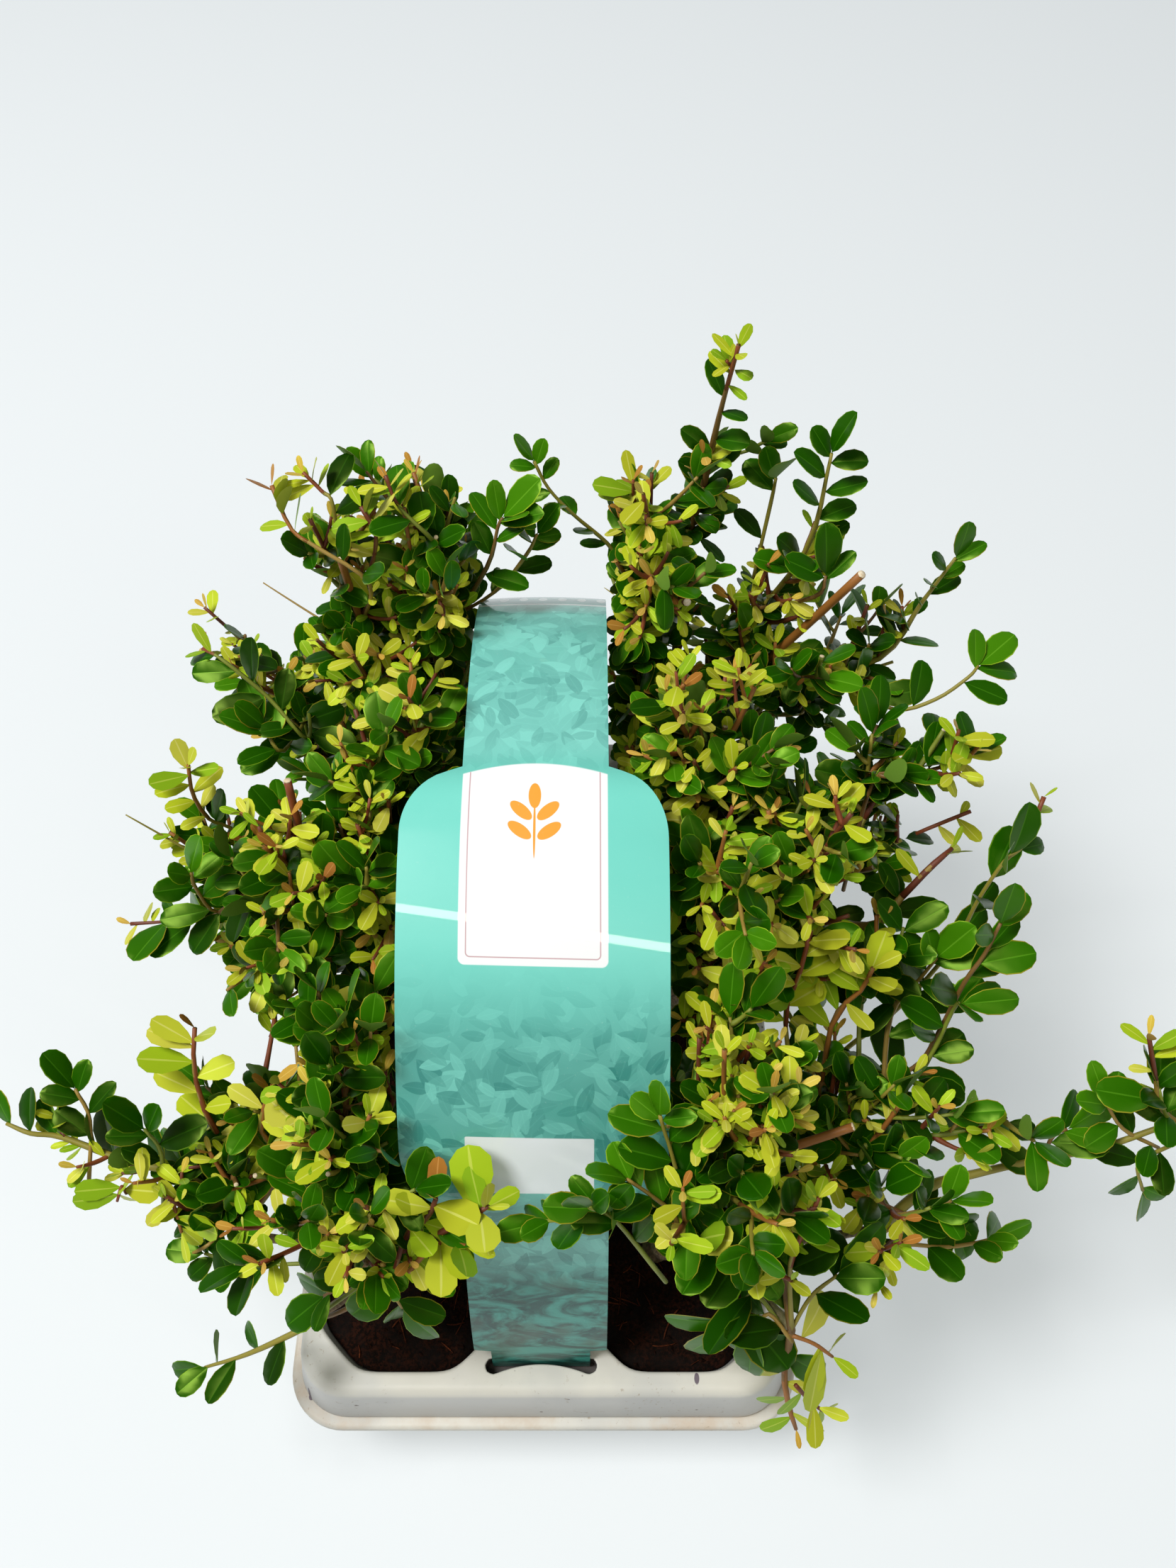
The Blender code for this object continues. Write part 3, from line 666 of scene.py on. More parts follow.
# chips of bark on the soil: eight-sided lumps, each stretched and turned its own way
spots = np.concatenate(chipPlaces)
count = len(spots)
corners = np.array([[1, 0, 0], [0, 1, 0], [-1, 0, 0], [0, -1, 0], [0, 0, 1], [0, 0, -1.0]])
sizes = dice.uniform(0.0005, 0.0017, (count, 1, 1)) * dice.uniform(0.5, 1.4, (count, 1, 3))
heading = dice.uniform(0, 2 * math.pi, count)
spin = np.zeros((count, 3, 3))
spin[:, 0, 0] = spin[:, 1, 1] = np.cos(heading)
spin[:, 0, 1], spin[:, 1, 0] = -np.sin(heading), np.sin(heading)
spin[:, 2, 2] = 1
lumps = np.einsum("nij,nkj->nki", spin, corners * sizes * dice.uniform(0.75, 1.25, (count, 6, 1)))
lumps += spots[:, None]
ringTris = np.array([[k, (k + 1) % 4, 4] for k in range(4)] + [[(k + 1) % 4, k, 5] for k in range(4)])
chipTris = (ringTris[None] + (np.arange(count) * 6)[:, None, None]).reshape(-1, 3)
chipFinish = soilFinish("bark chips", (14, 5, 2), (64, 30, 15), 0.0008)
settle(makePiece("soilChips", lumps, [], chipTris, [chipFinish], sharpAngle=40), "potting_soil")
fibres = np.concatenate(fibrePaths)
fibreSizes = dice.uniform(0.00012, 0.00034, (len(fibres), 1)) * np.array([0.5, 0.9, 1, 1, 0.9, 0.4])
fibreFinish = soilFinish("coir fibres", (60, 26, 11), (116, 58, 28), 0.0004)
settle(makePiece("soilFibres", *tubes(fibres, fibreSizes, 4), [fibreFinish]), "potting_soil")
print("soil laid, chips", count, "fibres", len(fibres))

# The carry strap

strap = {
    "width": 0.0494, "tongue": 0.0370, "thick": 0.0006, "height": 0.1720, "lean": 0.0250,
    "frontRound": 2.1, "backRound": 2.6, "hang": 0.0080, "shoulder": 0.0105,
    "labelWidth": 0.0890, "labelStart": 0.0930, "labelEnd": 0.2480, "labelShoulder": 0.0240, "roll": 3.0,
    "curl": 0.0009, "stations": 300, "columns": 33, "mapSize": 0.6,
    # strewn leaf shapes of the print: size of the pattern's cells, shift, leaf length, leaf width, strength
    "strewn": ((0.0170, 0.13, 0.0092, 0.0040, 0.75), (0.0130, 0.41, 0.0072, 0.0030, 0.80),
               (0.0100, 0.77, 0.0056, 0.0022, 0.80), (0.0115, 0.29, 0.0066, 0.0024, 0.75),
               (0.0086, 0.57, 0.0050, 0.0018, 0.70)),
    # leaves of the sprig on the panel: across, along, angle
    "sprig": ((0, 0.0102, 90), (0.0045, 0.0048, 42), (-0.0045, 0.0048, 138), (0.0049, -0.0022, 36),
              (-0.0049, -0.0022, 144)),
}


# the strap's middle line, y and z: two leaning quarter ovals, each of its own roundness, on straight feet
def strapLine():
    turn = np.linspace(0, math.pi, 241)
    across, high = -np.cos(turn), np.maximum(np.sin(turn), 0)
    power = np.where(across < 0, strap["frontRound"], strap["backRound"])
    z = high ** (2 / power)
    y = np.sign(across) * np.abs(across) ** (2 / power) * slotY + strap["lean"] * z
    y = np.concatenate([[-slotY], y, [slotY]]) + tray["y"]
    z = np.concatenate([[-strap["hang"]], strap["height"] * z, [-strap["hang"]]]) + top
    run = np.concatenate([[0], np.cumsum(np.hypot(np.diff(y), np.diff(z)))])
    # closer stations where the tongue widens
    step = strap["hang"] + strap["shoulder"] + np.linspace(-0.0009, 0.0009, 7)
    along = np.sort(np.concatenate([np.linspace(0, run[-1], strap["stations"]), step, run[-1] - step]))
    return along, np.interp(along, run, y), np.interp(along, run, z)


# half the strap's width at a distance along it, and how far inside the label that is
def strapHalf(along):
    start, end, hang = strap["labelStart"], strap["labelEnd"], strap["hang"]
    inside = np.minimum(along - start - hang, end + hang - along)
    share = np.clip(inside / strap["labelShoulder"], 0, 1)
    wide = strap["width"] + (strap["labelWidth"] - strap["width"]) * np.sqrt(1 - (1 - share) ** 2)
    tongue = strap["hang"] + strap["shoulder"]
    ease = np.clip((np.minimum(along, along[-1] - along) - tongue) / 0.0010 + 0.5, 0, 1)
    return (strap["tongue"] + (wide - strap["tongue"]) * np.sqrt(ease)) / 2, share


strapRun, strapY, strapZ = strapLine()
strapWide, labelShare = strapHalf(strapRun)
aheadY, aheadZ = np.gradient(strapY), np.gradient(strapZ)
size = np.hypot(aheadY, aheadZ)
normal = np.stack([np.zeros_like(size), -aheadZ / size, aheadY / size], 1)
across = np.linspace(-1, 1, strap["columns"])[None] * strapWide[:, None]
drop = across * math.tan(math.radians(strap["roll"])) * labelShare[:, None]
curl = strap["curl"] * (across / strapWide[:, None]) ** 2 * np.clip(strapRun / 0.05, 0, 1)[:, None]
curl *= np.clip((strapRun[-1] - strapRun) / 0.05, 0, 1)[:, None]
sheetMid = np.stack([
    np.broadcast_to(tray["x"] + across, across.shape),
    strapY[:, None] - normal[:, None, 1] * curl,
    strapZ[:, None] - normal[:, None, 2] * curl - drop,
], -1)
faces = [sheetMid + normal[:, None] * strap["thick"] / 2 * sign for sign in (1, -1)]
stations, columns = len(strapRun), strap["columns"]
grid = gridFaces(stations, columns)
size = stations * columns
number = np.arange(size).reshape(stations, columns)
rim = np.concatenate([number[0, :-1], number[:-1, -1], number[-1, :0:-1], number[:0:-1, 0]])
after = np.roll(rim, -1)
rimQuads = np.stack([rim, rim + size, after + size, after], -1)
quads = np.concatenate([grid, grid[:, ::-1] + size, rimQuads])
quadSlots = np.repeat([0, 1, 2], [len(grid), len(grid), len(rimQuads)])

# the print's places in metres: boxes by middle across and along, half width, half length and corner radius;
# "plain" to "darkEnd" begin at the first place along the strap and are full at the second, and "plain" ends
# again between its last two; pairs of sizes are long and wide
printed = {
    "panel": (0.0, 0.2350, 0.0243, 0.0545, 0.0022), "frame": (0.0, 0.2350, 0.0218, 0.0519, 0.0014),
    "patch": (-0.0015, 0.1118, 0.0212, 0.0108, 0.0006), "edge": 0.0002,
    "panelTop": 0.2496, "panelBow": 6.5, "frameHalf": 0.00012, "frameSoft": 0.0003,
    "plain": (0.146, 0.190, 0.236, 0.262), "foot": (0.052, 0.078), "stronger": (0.256, 0.280),
    "paler": (0.246, 0.256), "darkEnd": (0.3385, 0.3400),
    "sprigMiddle": 0.2272, "sprigLeaf": (0.0046, 0.0021), "stalk": (0.0098, 0.00042), "stalkDown": 0.002,
    "whiteLine": 0.3395, "whiteHalf": (0.0007, 0.0011),
    "dotRow": 0.3485, "dotPitch": 0.0076, "dotWide": 0.0017, "dotLong": 0.0034,
}


# the print on the strap: teal with pale and dark leaf shapes, a white panel with a thin frame and a plain
# sprig, and a bare white patch. The map gives metres across and along as shares of its size
def strapFinish():
    mapSize = strap["mapSize"]
    coat = Finish("strap print", **{"Coat Roughness": 0.03})
    here = coat.add("UVMap", {"uv_map": "print"})
    across, along, _ = coat.node("SeparateXYZ", None, {"Vector": here})
    x = across * mapSize - mapSize / 2
    s = along * mapSize - strap["hang"]

    # 1 between two places along the strap, eased at both
    def between(first, second, third, fourth):
        return coat.rise(s, first, second) * (1 - coat.rise(s, third, fourth))

    # leaf shapes strewn over the print: one in each cell of a pattern, turned by the cell's own chance
    def strewn(tone, size, shift, long, wide, strength):
        moved = coat.add("VectorMath", {"operation": "ADD"}, {0: here, 1: (shift, shift * 0.7, 0)})
        cell = {"Vector": moved, "Scale": mapSize / size}
        chance = coat.node("TexVoronoi", {"voronoi_dimensions": "2D"}, cell)
        away = coat.add("VectorMath", {"operation": "SUBTRACT"}, {0: moved, 1: chance[2]})
        dx, dy, _ = coat.node("SeparateXYZ", None, {"Vector": away})
        red, green, _ = coat.node("SeparateColor", None, {"Color": chance[1]})
        turn = red * (2 * math.pi)
        cos, sin = turn.maths("COSINE", turn), turn.maths("SINE", turn)
        u = (dx * cos + dy * sin) * (mapSize / long)
        v = (dy * cos - dx * sin) * (mapSize / wide)
        shape = coat.rise(1 - u * u - abs(v), -0.05, 0.05)
        vein = 1 - coat.rise(abs(v), 0.04, 0.10)
        return tone + ((green * 0.9 + 0.05 + vein * 0.10) - tone) * shape * strength

    # a rectangle with round corners: negative inside it
    def roundBox(cx, cs, halfX, halfS, radius):
        outX = (abs(x - cx) - (halfX - radius)).atLeast(0.0)
        outS = (abs(s - cs) - (halfS - radius)).atLeast(0.0)
        return (outX * outX + outS * outS).root() - radius

    # an oval leaf of the sprig: 1 inside it
    def oval(cx, cs, angle, long, wide):
        a = math.radians(angle)
        dx, ds = x - cx, s - cs
        u = dx * (math.cos(a) / long) + ds * (math.sin(a) / long)
        v = dx * (-math.sin(a) / wide) + ds * (math.cos(a) / wide)
        return 1 - coat.rise(u * u + v * v, 0.92, 1.08)

    tone = 0.5 + (coat.noise(here, 14, 3) - 0.5) * 0.8
    for leafy in strap["strewn"]:
        tone = strewn(tone, *leafy)
    # the label's upper half is almost plain, and the far end has more contrast
    plain = between(*printed["plain"])
    tone = 0.5 + (tone - 0.5) * (1 - plain * 0.88) * (1 + coat.rise(s, *printed["stronger"]) * 0.7)
    coat.shown = coat.mix(tone, tint(34, 120, 113), tint(120, 203, 189))
    coat.paint(coat.rise(s, *printed["paler"]) * 0.40, 142, 222, 210)
    coat.paint(coat.rise(s, *printed["darkEnd"]) * 0.6, 38, 124, 116)
    coat.paint(plain * 0.85, 116, 214, 198)
    # the foot is bluer, with long strokes
    drawn = coat.add("Mapping", None, {"Vector": here, "Rotation": (0, 0, 1.0), "Scale": (1, 2.2, 1)})
    bend = {"Vector": drawn, "Scale": 24, "Detail": 4, "Roughness": 0.6, "Distortion": 2.2}
    strokes = coat.rise(coat.add("TexNoise", None, bend), 0.36, 0.64)
    footed = coat.mix(strokes, tint(8, 58, 52), tint(62, 146, 132))
    footed = coat.mix(coat.rise(coat.noise(here, 26, 3), 0.50, 0.64) * 0.5, footed, tint(62, 56, 30))
    foot = 1 - coat.rise(s, *printed["foot"])
    coat.shown = coat.mix(foot * 0.92, coat.shown, footed)
    # the white panel, cut by a bow at its upper edge, and its frame line
    edge, soft = printed["edge"], printed["frameSoft"]
    bowed = s - (printed["panelTop"] - x * x * printed["panelBow"])
    inPanel = (1 - coat.rise(roundBox(*printed["panel"]), -edge, edge)) * (1 - coat.rise(bowed, -soft, soft))
    coat.paint(inPanel, 236, 238, 238)
    line = (1 - coat.rise(abs(roundBox(*printed["frame"])), printed["frameHalf"], soft)) * inPanel
    coat.paint(line * 0.9, 190, 150, 156)
    middleS = printed["sprigMiddle"]
    sprig = oval(0.0, middleS - printed["stalkDown"], 90, *printed["stalk"])
    for cx, cs, angle in strap["sprig"]:
        sprig = sprig.atLeast(oval(cx, middleS + cs, angle, *printed["sprigLeaf"]))
    coat.paint(sprig, 240, 158, 46)
    patch = 1 - coat.rise(roundBox(*printed["patch"]), -edge, edge)
    coat.paint(patch, 222, 228, 230)
    # where the strap turns down: a white line and a row of plain dots
    farLine = 1 - coat.rise(abs(s - printed["whiteLine"]), *printed["whiteHalf"])
    pitch = printed["dotPitch"]
    shifted = (x + strap["width"]) * (1 / pitch)
    column = shifted.maths("FRACT", shifted) - 0.5
    dotX, dotS = column * (pitch / printed["dotWide"]), (s - printed["dotRow"]) * (1 / printed["dotLong"])
    farDots = 1 - coat.rise(dotX * dotX + dotS * dotS, 0.7, 1.3)
    coat.paint(farLine.atLeast(farDots) * 0.9, 232, 242, 240)
    scuff = coat.rise(coat.noise(here, 500, 4, 0.7), 0.62, 0.72) * 0.25
    coat.paint(scuff * 0.5, 214, 226, 224)
    grain = coat.noise(here, 30, 2)
    rough = 0.34 + coat.rise(grain, 0.3, 0.7) * 0.07 + scuff * 0.4
    return coat.wear(**{"Base Color": coat.shown, "Roughness": rough, "Coat Weight": 0.9 - foot * 0.8,
                        "Normal": coat.bump(grain, 0.03, 0.001)})


# pale card where the strap is not printed
def cardFinish(name, colour):
    coat = Finish(name)
    grain = coat.noise(coat.place(), 900, 4)
    shade = coat.mix(coat.rise(grain, 0.3, 0.7) * 0.25, tint(*colour), tint(190, 196, 192))
    return coat.wear(**{"Base Color": shade, "Roughness": 0.55, "Normal": coat.bump(grain, 0.08, 0.0003)})


cards = [strapFinish(), cardFinish("strap back", (206, 224, 220)), cardFinish("card edge", (226, 232, 230))]
strapPiece = makePiece("carryStrap", np.concatenate(faces), quads, [], cards, quadSlots, sharpAngle=35)
printMap = strapPiece.data.uv_layers.new(name="print")
corner = np.zeros(len(strapPiece.data.loops), np.int32)
strapPiece.data.loops.foreach_get("vertex_index", corner)
runShare = np.broadcast_to(strapRun[:, None] / strap["mapSize"], across.shape)
flatMap = np.stack([across / strap["mapSize"] + 0.5, runShare], -1).reshape(-1, 2)
printMap.data.foreach_set("uv", flatMap[corner % size].astype(np.float32).ravel())
settle(strapPiece, "strap_card", "carry_strap")

# a long lamp overhead that shines back from the label as one bright line, between two places of the picture
shine = {
    "ends": ((568, 1280), (955, 1334)), "distance": 1.6, "wide": 0.066, "power": 4.4, "longer": 2.4,
    "colour": (1.0, 0.95, 0.76),
}
cardNormal = unit(np.cross(np.gradient(sheetMid, axis=1), np.gradient(sheetMid, axis=0)))
seenX, seenY = inPicture(sheetMid)
lampEnds = []
for px, py in shine["ends"]:
    spot = np.unravel_index(np.hypot(seenX - px, seenY - py).argmin(), seenX.shape)
    look, facing = unit(sheetMid[spot] - eye), cardNormal[spot]
    lampEnds.append(sheetMid[spot] + shine["distance"] * (look - 2 * (look @ facing) * facing))
lampMiddle, lampSpan = (lampEnds[0] + lampEnds[1]) / 2, lampEnds[1] - lampEnds[0]
lampLong, lampWay = np.linalg.norm(lampSpan) * shine["longer"], unit(lampSpan)
tubeLamp = addLamp("tube", lampMiddle, shine["power"], lampLong, shine["wide"])
back = unit(lampMiddle - [tray["x"], 0, 0.2])
back = unit(back - lampWay * (back @ lampWay))
tubeLamp.rotation_euler = Matrix([lampWay, np.cross(back, lampWay), back]).transposed().to_euler()
tubeLamp.data.color = shine["colour"]
print("strap hooked in, length", round(float(strapRun[-1]), 4))

# The crown's limbs, by the same rule as the part's source

# tips of the masses in each cell, in millimetres: out from the middle line, along the tray, above the deck
crown = {
    "inner": {"middle": (60, 38, 150), "back": (36, 122, 196)},
    "upper": {"front": (74, -94, 136), "middle": (96, -10, 170), "back": (84, 100, 216)},
    "outer": {"front": (132, -56, 84), "middle": (154, 32, 116), "back": (146, 118, 150)},
}
# shoots that give the outline: side, row, where the leaves begin, tip, spread, in millimetres
shoots = {
    "tall_leader": ("right", "back", (56, 128, 160), (65, 104, 280), 34),
    "right_reach": ("right", "front", (124, -104, 46), (244, -80, 84), 30),
    "left_reach": ("left", "front", (-112, -104, 40), (-197, -82, 74), 30),
    "front_right_droop": ("right", "front", (88, -140, 52), (94, -172, 8), 24),
    "front_left_low": ("left", "front", (-80, -132, 34), (-128, -146, 20), 30),
    "front_left_cross": ("left", "front", (-56, -124, 78), (-8, -140, 94), 24),
    "front_right_cross": ("right", "front", (62, -124, 74), (16, -142, 88), 24),
}
limb = {
    "rightReach": 1.12, "leafyFrom": 0.22, "sag": 0.006, "spread": 0.060, "rowStretch": 0.45, "valley": 0.024,
    "stemHeight": 0.026, "stemLean": 0.004, "stemFlare": 0.0075, "stemRadius": 0.0036, "knuckle": 0.0072,
    "boughBase": 0.0023, "boughTip": 0.0015, "forkAngle": 36.0, "goldenAngle": 137.5, "seed": 5,
}


# a place given in millimetres from the tray's middle and its deck
def deckPlace(place):
    return middle + np.array(place) / 1000


# the foot of a cell's stem on the soil, and the middle of its head
def stemLine(side, row):
    x, y = sides[side], rows[row]
    foot = middle + [x * tray["pitchX"] / 2, y * tray["pitchY"], -soil["belowDeck"]]
    return foot, foot + [x * limb["stemLean"], y * limb["stemLean"], limb["stemHeight"] + 0.0017]


# every mass: name, side, row, base, tip, spread
def crownMasses():
    masses = []
    for side, sign in sides.items():
        reach = limb["rightReach"] if side == "right" else 1.0
        for row in rows:
            head = stemLine(side, row)[1]
            for kind, places in crown.items():
                if row in places:
                    out, along, high = np.array(places[row]) / 1000
                    tip = middle + [sign * out * reach, along, high * reach]
                    base = head + (tip - head) * limb["leafyFrom"] - up * limb["sag"]
                    masses.append((f"{kind}_{side}_{row}", side, row, base, tip, limb["spread"]))
    for name, (side, row, base, tip, spread) in shoots.items():
        masses.append((name, side, row, deckPlace(base), deckPlace(tip), spread / 1000))
    return masses


# how the boughs leave one head: towards their leaves, turned apart until each has room
def forkHeadings(head, entries):
    ways = unit(np.array(entries) - head)
    least = math.radians(limb["forkAngle"])
    for _ in range(80):
        for i in range(len(ways)):
            for j in range(i):
                apart = math.acos(min(1.0, float(ways[i] @ ways[j])))
                if apart < least:
                    push = unit(ways[i] - ways[j]) * (least - apart) * 0.5
                    ways[i], ways[j] = unit(ways[i] + push), unit(ways[j] - push)
    return ways


masses = crownMasses()
massBase = np.array([mass[3] for mass in masses])
massWay = np.array([mass[4] - mass[3] for mass in masses])
massIndex = {mass[0]: k for k, mass in enumerate(masses)}


# which mass's line is nearest to a place
def nearestMass(place):
    share = np.clip(((place - massBase) * massWay).sum(1) / (massWay**2).sum(1), 0, 1)
    return int(np.linalg.norm(place - massBase - massWay * share[:, None], axis=1).argmin())


# limbs with bark: the tube's radius swells and shrinks with long ridges and rings where leaves once stood
def barkTubes(paths, radii, number, ridges=0.10, fork=0.0):
    points, quads, tris = tubes(paths, radii, number)
    count, stations = radii.shape
    per = stations * number + 2
    shaped = points.reshape(count, per, 3)
    body = shaped[:, : stations * number].reshape(count, stations, number, 3)
    centre = paths[:, :, None]
    stretched = body * [1, 1, 0.35]
    grain = softNoise(stretched, 0.0018, 21) * 0.6 + softNoise(body, 0.0042, 22) * 0.7
    t = np.linspace(0, 1, stations)[None, :, None]
    rings = np.maximum(0, np.sin(t * stations * 0.9 + 2 * np.arange(count)[:, None, None])) ** 8
    body[:] = centre + (body - centre) * (1 + ridges * grain + 0.10 * rings)[..., None]
    return shaped.reshape(-1, 3), quads, tris


stemPaths, stemRadii, boughPaths, boughRadii = [], [], [], []
t = np.linspace(0, 1, 26)
for side, row in cells:
    foot, head = stemLine(side, row)
    path = foot + (head - foot) * t[:, None] * 1.12
    flare = limb["stemRadius"] + (limb["stemFlare"] - limb["stemRadius"]) * np.exp(-t * 9)
    swell = (limb["knuckle"] - limb["stemRadius"]) * np.exp(-(((t - 0.90) / 0.16) ** 2))
    close = np.sqrt(np.clip((1.02 - t) / 0.10, 0, 1))
    stemPaths.append(path)
    stemRadii.append((flare + swell) * close + 0.0002)
    own = [mass for mass in masses if (mass[1], mass[2]) == (side, row)]
    for way, mass in zip(forkHeadings(head, [m[3] for m in own]), own):
        start, entry = head + way * limb["knuckle"] * 0.45, mass[3]
        heading = unit(mass[4] - entry)
        reach = np.linalg.norm(entry - start)
        pull = (start + way * reach * 0.5 + entry - heading * reach * 0.35) * 0.5
        s = np.linspace(0, 1, 30)[:, None]
        boughPaths.append(start * (1 - s) ** 2 + pull * 2 * s * (1 - s) + entry * s**2)
        boughRadii.append(limb["boughBase"] + (limb["boughTip"] - limb["boughBase"]) * s[:, 0])


# smooth grey-brown bark with green under it, ridged along the limb
def barkFinish(name, dark, light, green):
    coat = Finish(name)
    where = coat.place()
    long = coat.add("Mapping", None, {"Vector": where, "Scale": (1, 1, 0.3)})
    ridges = coat.noise(long, 900, 5, 0.65)
    patch = coat.noise(where, 120, 3)
    wood = coat.mix(coat.rise(ridges, 0.35, 0.65), dark, light)
    mossy = coat.mix(coat.rise(patch, 0.45, 0.70) * 0.6, wood, green)
    return coat.wear(**{"Base Color": mossy, "Roughness": 0.72, "Normal": coat.bump(ridges, 0.5, 0.0006)})


bark = barkFinish("holly bark", tint(82, 66, 44), tint(134, 112, 82), tint(98, 104, 58))
stemMesh = barkTubes(np.array(stemPaths), np.array(stemRadii), 20, 0.12)
boughMesh = barkTubes(np.array(boughPaths), np.array(boughRadii), 12, 0.10)
woodPiece = makePiece("stemsAndBoughs", *together([stemMesh, boughMesh]), [bark])
stemNodes = [f"stem_{side}_{row}" for side, row in cells]
settle(woodPiece, "bark", *stemNodes, *[f"bough_{mass[0]}" for mass in masses])
print("stems and boughs", len(woodPiece.data.polygons))

# Twigs and leaves grown on from the limbs

grow = {
    # steps between twigs and leaves, lengths, radii, shares, and the sizes of lime leaves by kind of shoot
    "twigStep": 0.0036, "leafStep": 0.0056, "leaf": 0.0178, "youngLeaf": 0.0102, "redLength": 0.022,
    "shortTwig": 0.026, "sideTwig": 0.017, "branch": (0.011, 0.022), "shortest": 0.006,
    "twigFoot": 0.00110, "twigTip": 0.00062, "branchFoot": 0.0008, "limbFoot": 0.0013,
    "lift": 0.40, "clipped": 0.09, "upward": 1.15, "limeSize": (1.0, 1.0, 1.30, 1.65), "anyTurn": 6.28,
    # how far leaves and twigs stay off the strap, off its underside, the tray, the ground and the solids' box
    "offStrap": 0.003, "nearStrap": 0.005, "insideStrap": 0.006, "strapReach": 0.139, "openFront": -0.118,
    "offTray": 0.003, "offGround": 0.010, "pastBox": 0.003,
    # angles to the limb in degrees: leaves, twigs and side twigs
    "leafLean": (42, 68), "twigLean": (42, 74), "sideLean": (35, 62),
    "rowLeaf": {"front": 1.02, "middle": 0.99, "back": 0.92},  # leaves are smaller towards the back
    # how far the twigs reach from each kind of mass as a share of its spread, and how much less at its tip
    "full": {"inner": 0.94, "upper": 0.92, "outer": 0.86},
    "taper": {"inner": 0.60, "upper": 0.80, "outer": 0.92},
    "shootSpread": {"tall_leader": 0.022, "front_left_low": 0.0, "right_reach": 0.0, "left_reach": 0.022,
                    "front_right_cross": 0.0, "front_left_cross": 0.014, "front_right_droop": 0.0,
                    "outer_right_back": 0.036, "outer_right_middle": 0.040, "outer_right_front": 0.046,
                    "upper_right_back": 0.033, "upper_right_middle": 0.050},
    "pointed": ("upper_right_back", "outer_right_back", "tall_leader"),  # masses that end in a point
}
# share of the tips that are young in each part of the crown
youngShare = {
    "inner_left_middle": 0.40, "inner_left_back": 0.48, "upper_left_front": 0.48, "upper_left_middle": 0.50,
    "upper_left_back": 0.66, "outer_left_front": 0.48, "outer_left_middle": 0.48, "outer_left_back": 0.58,
    "inner_right_middle": 0.60, "inner_right_back": 0.76, "upper_right_front": 0.72,
    "upper_right_middle": 0.60, "upper_right_back": 0.68, "outer_right_front": 0.62,
    "outer_right_middle": 0.62, "outer_right_back": 0.20, "tall_leader": 0.30, "right_reach": 0.25,
    "left_reach": 0.45, "front_right_droop": 0.95, "front_left_low": 0.05, "front_left_cross": 0.80,
    "front_right_cross": 0.05,
}
# the way of some masses' own limbs, from where their leaves begin: radius in tenths of a millimetre, young
# (0 not at all, 1 at its tip, 2 and 3 further down with larger lime leaves), leaf size and the share with no
# leaves in hundredths, and places in millimetres
ownWays = {
    "right_reach": (19, 0, 90, 86, (140, -94, 61), (157, -90, 64), (179, -87, 71), (199, -85, 77),
        (217, -82, 90), (228, -80, 94)),
    "left_reach": (17, 0, 110, 35, (-121, -90, 56), (-149, -85, 62), (-173, -78, 68), (-183, -78, 72),
        (-192, -75, 74)),
    "front_right_cross": (16, 0, 92, 12, (54, -121, 92), (31, -117, 106), (16, -118, 108), (4, -119, 106)),
    "front_left_cross": (14, 3, 100, 15, (-48, -122, 78), (-30, -119, 94), (-19, -117, 106),
        (-14, -116, 112)),
    "front_left_low": (13, 0, 90, 45, (-84, -137, 38), (-105, -143, 26), (-122, -146, 18)),
    "front_right_droop": (14, 2, 120, 5, (88, -146, 34), (88, -151, 24), (91, -158, 10), (94, -164, 2)),
    "outer_right_back": (14, 0, 90, 10, (100, 98, 110), (134, 95, 132), (148, 105, 154), (157, 109, 174)),
    "upper_right_back": (14, 0, 100, 10, (80, 102, 140), (97, 97, 190), (100, 100, 232)),
    "tall_leader": (15, 1, 76, 10, (60, 122, 195), (62, 112, 236), (65, 104, 272)),
}
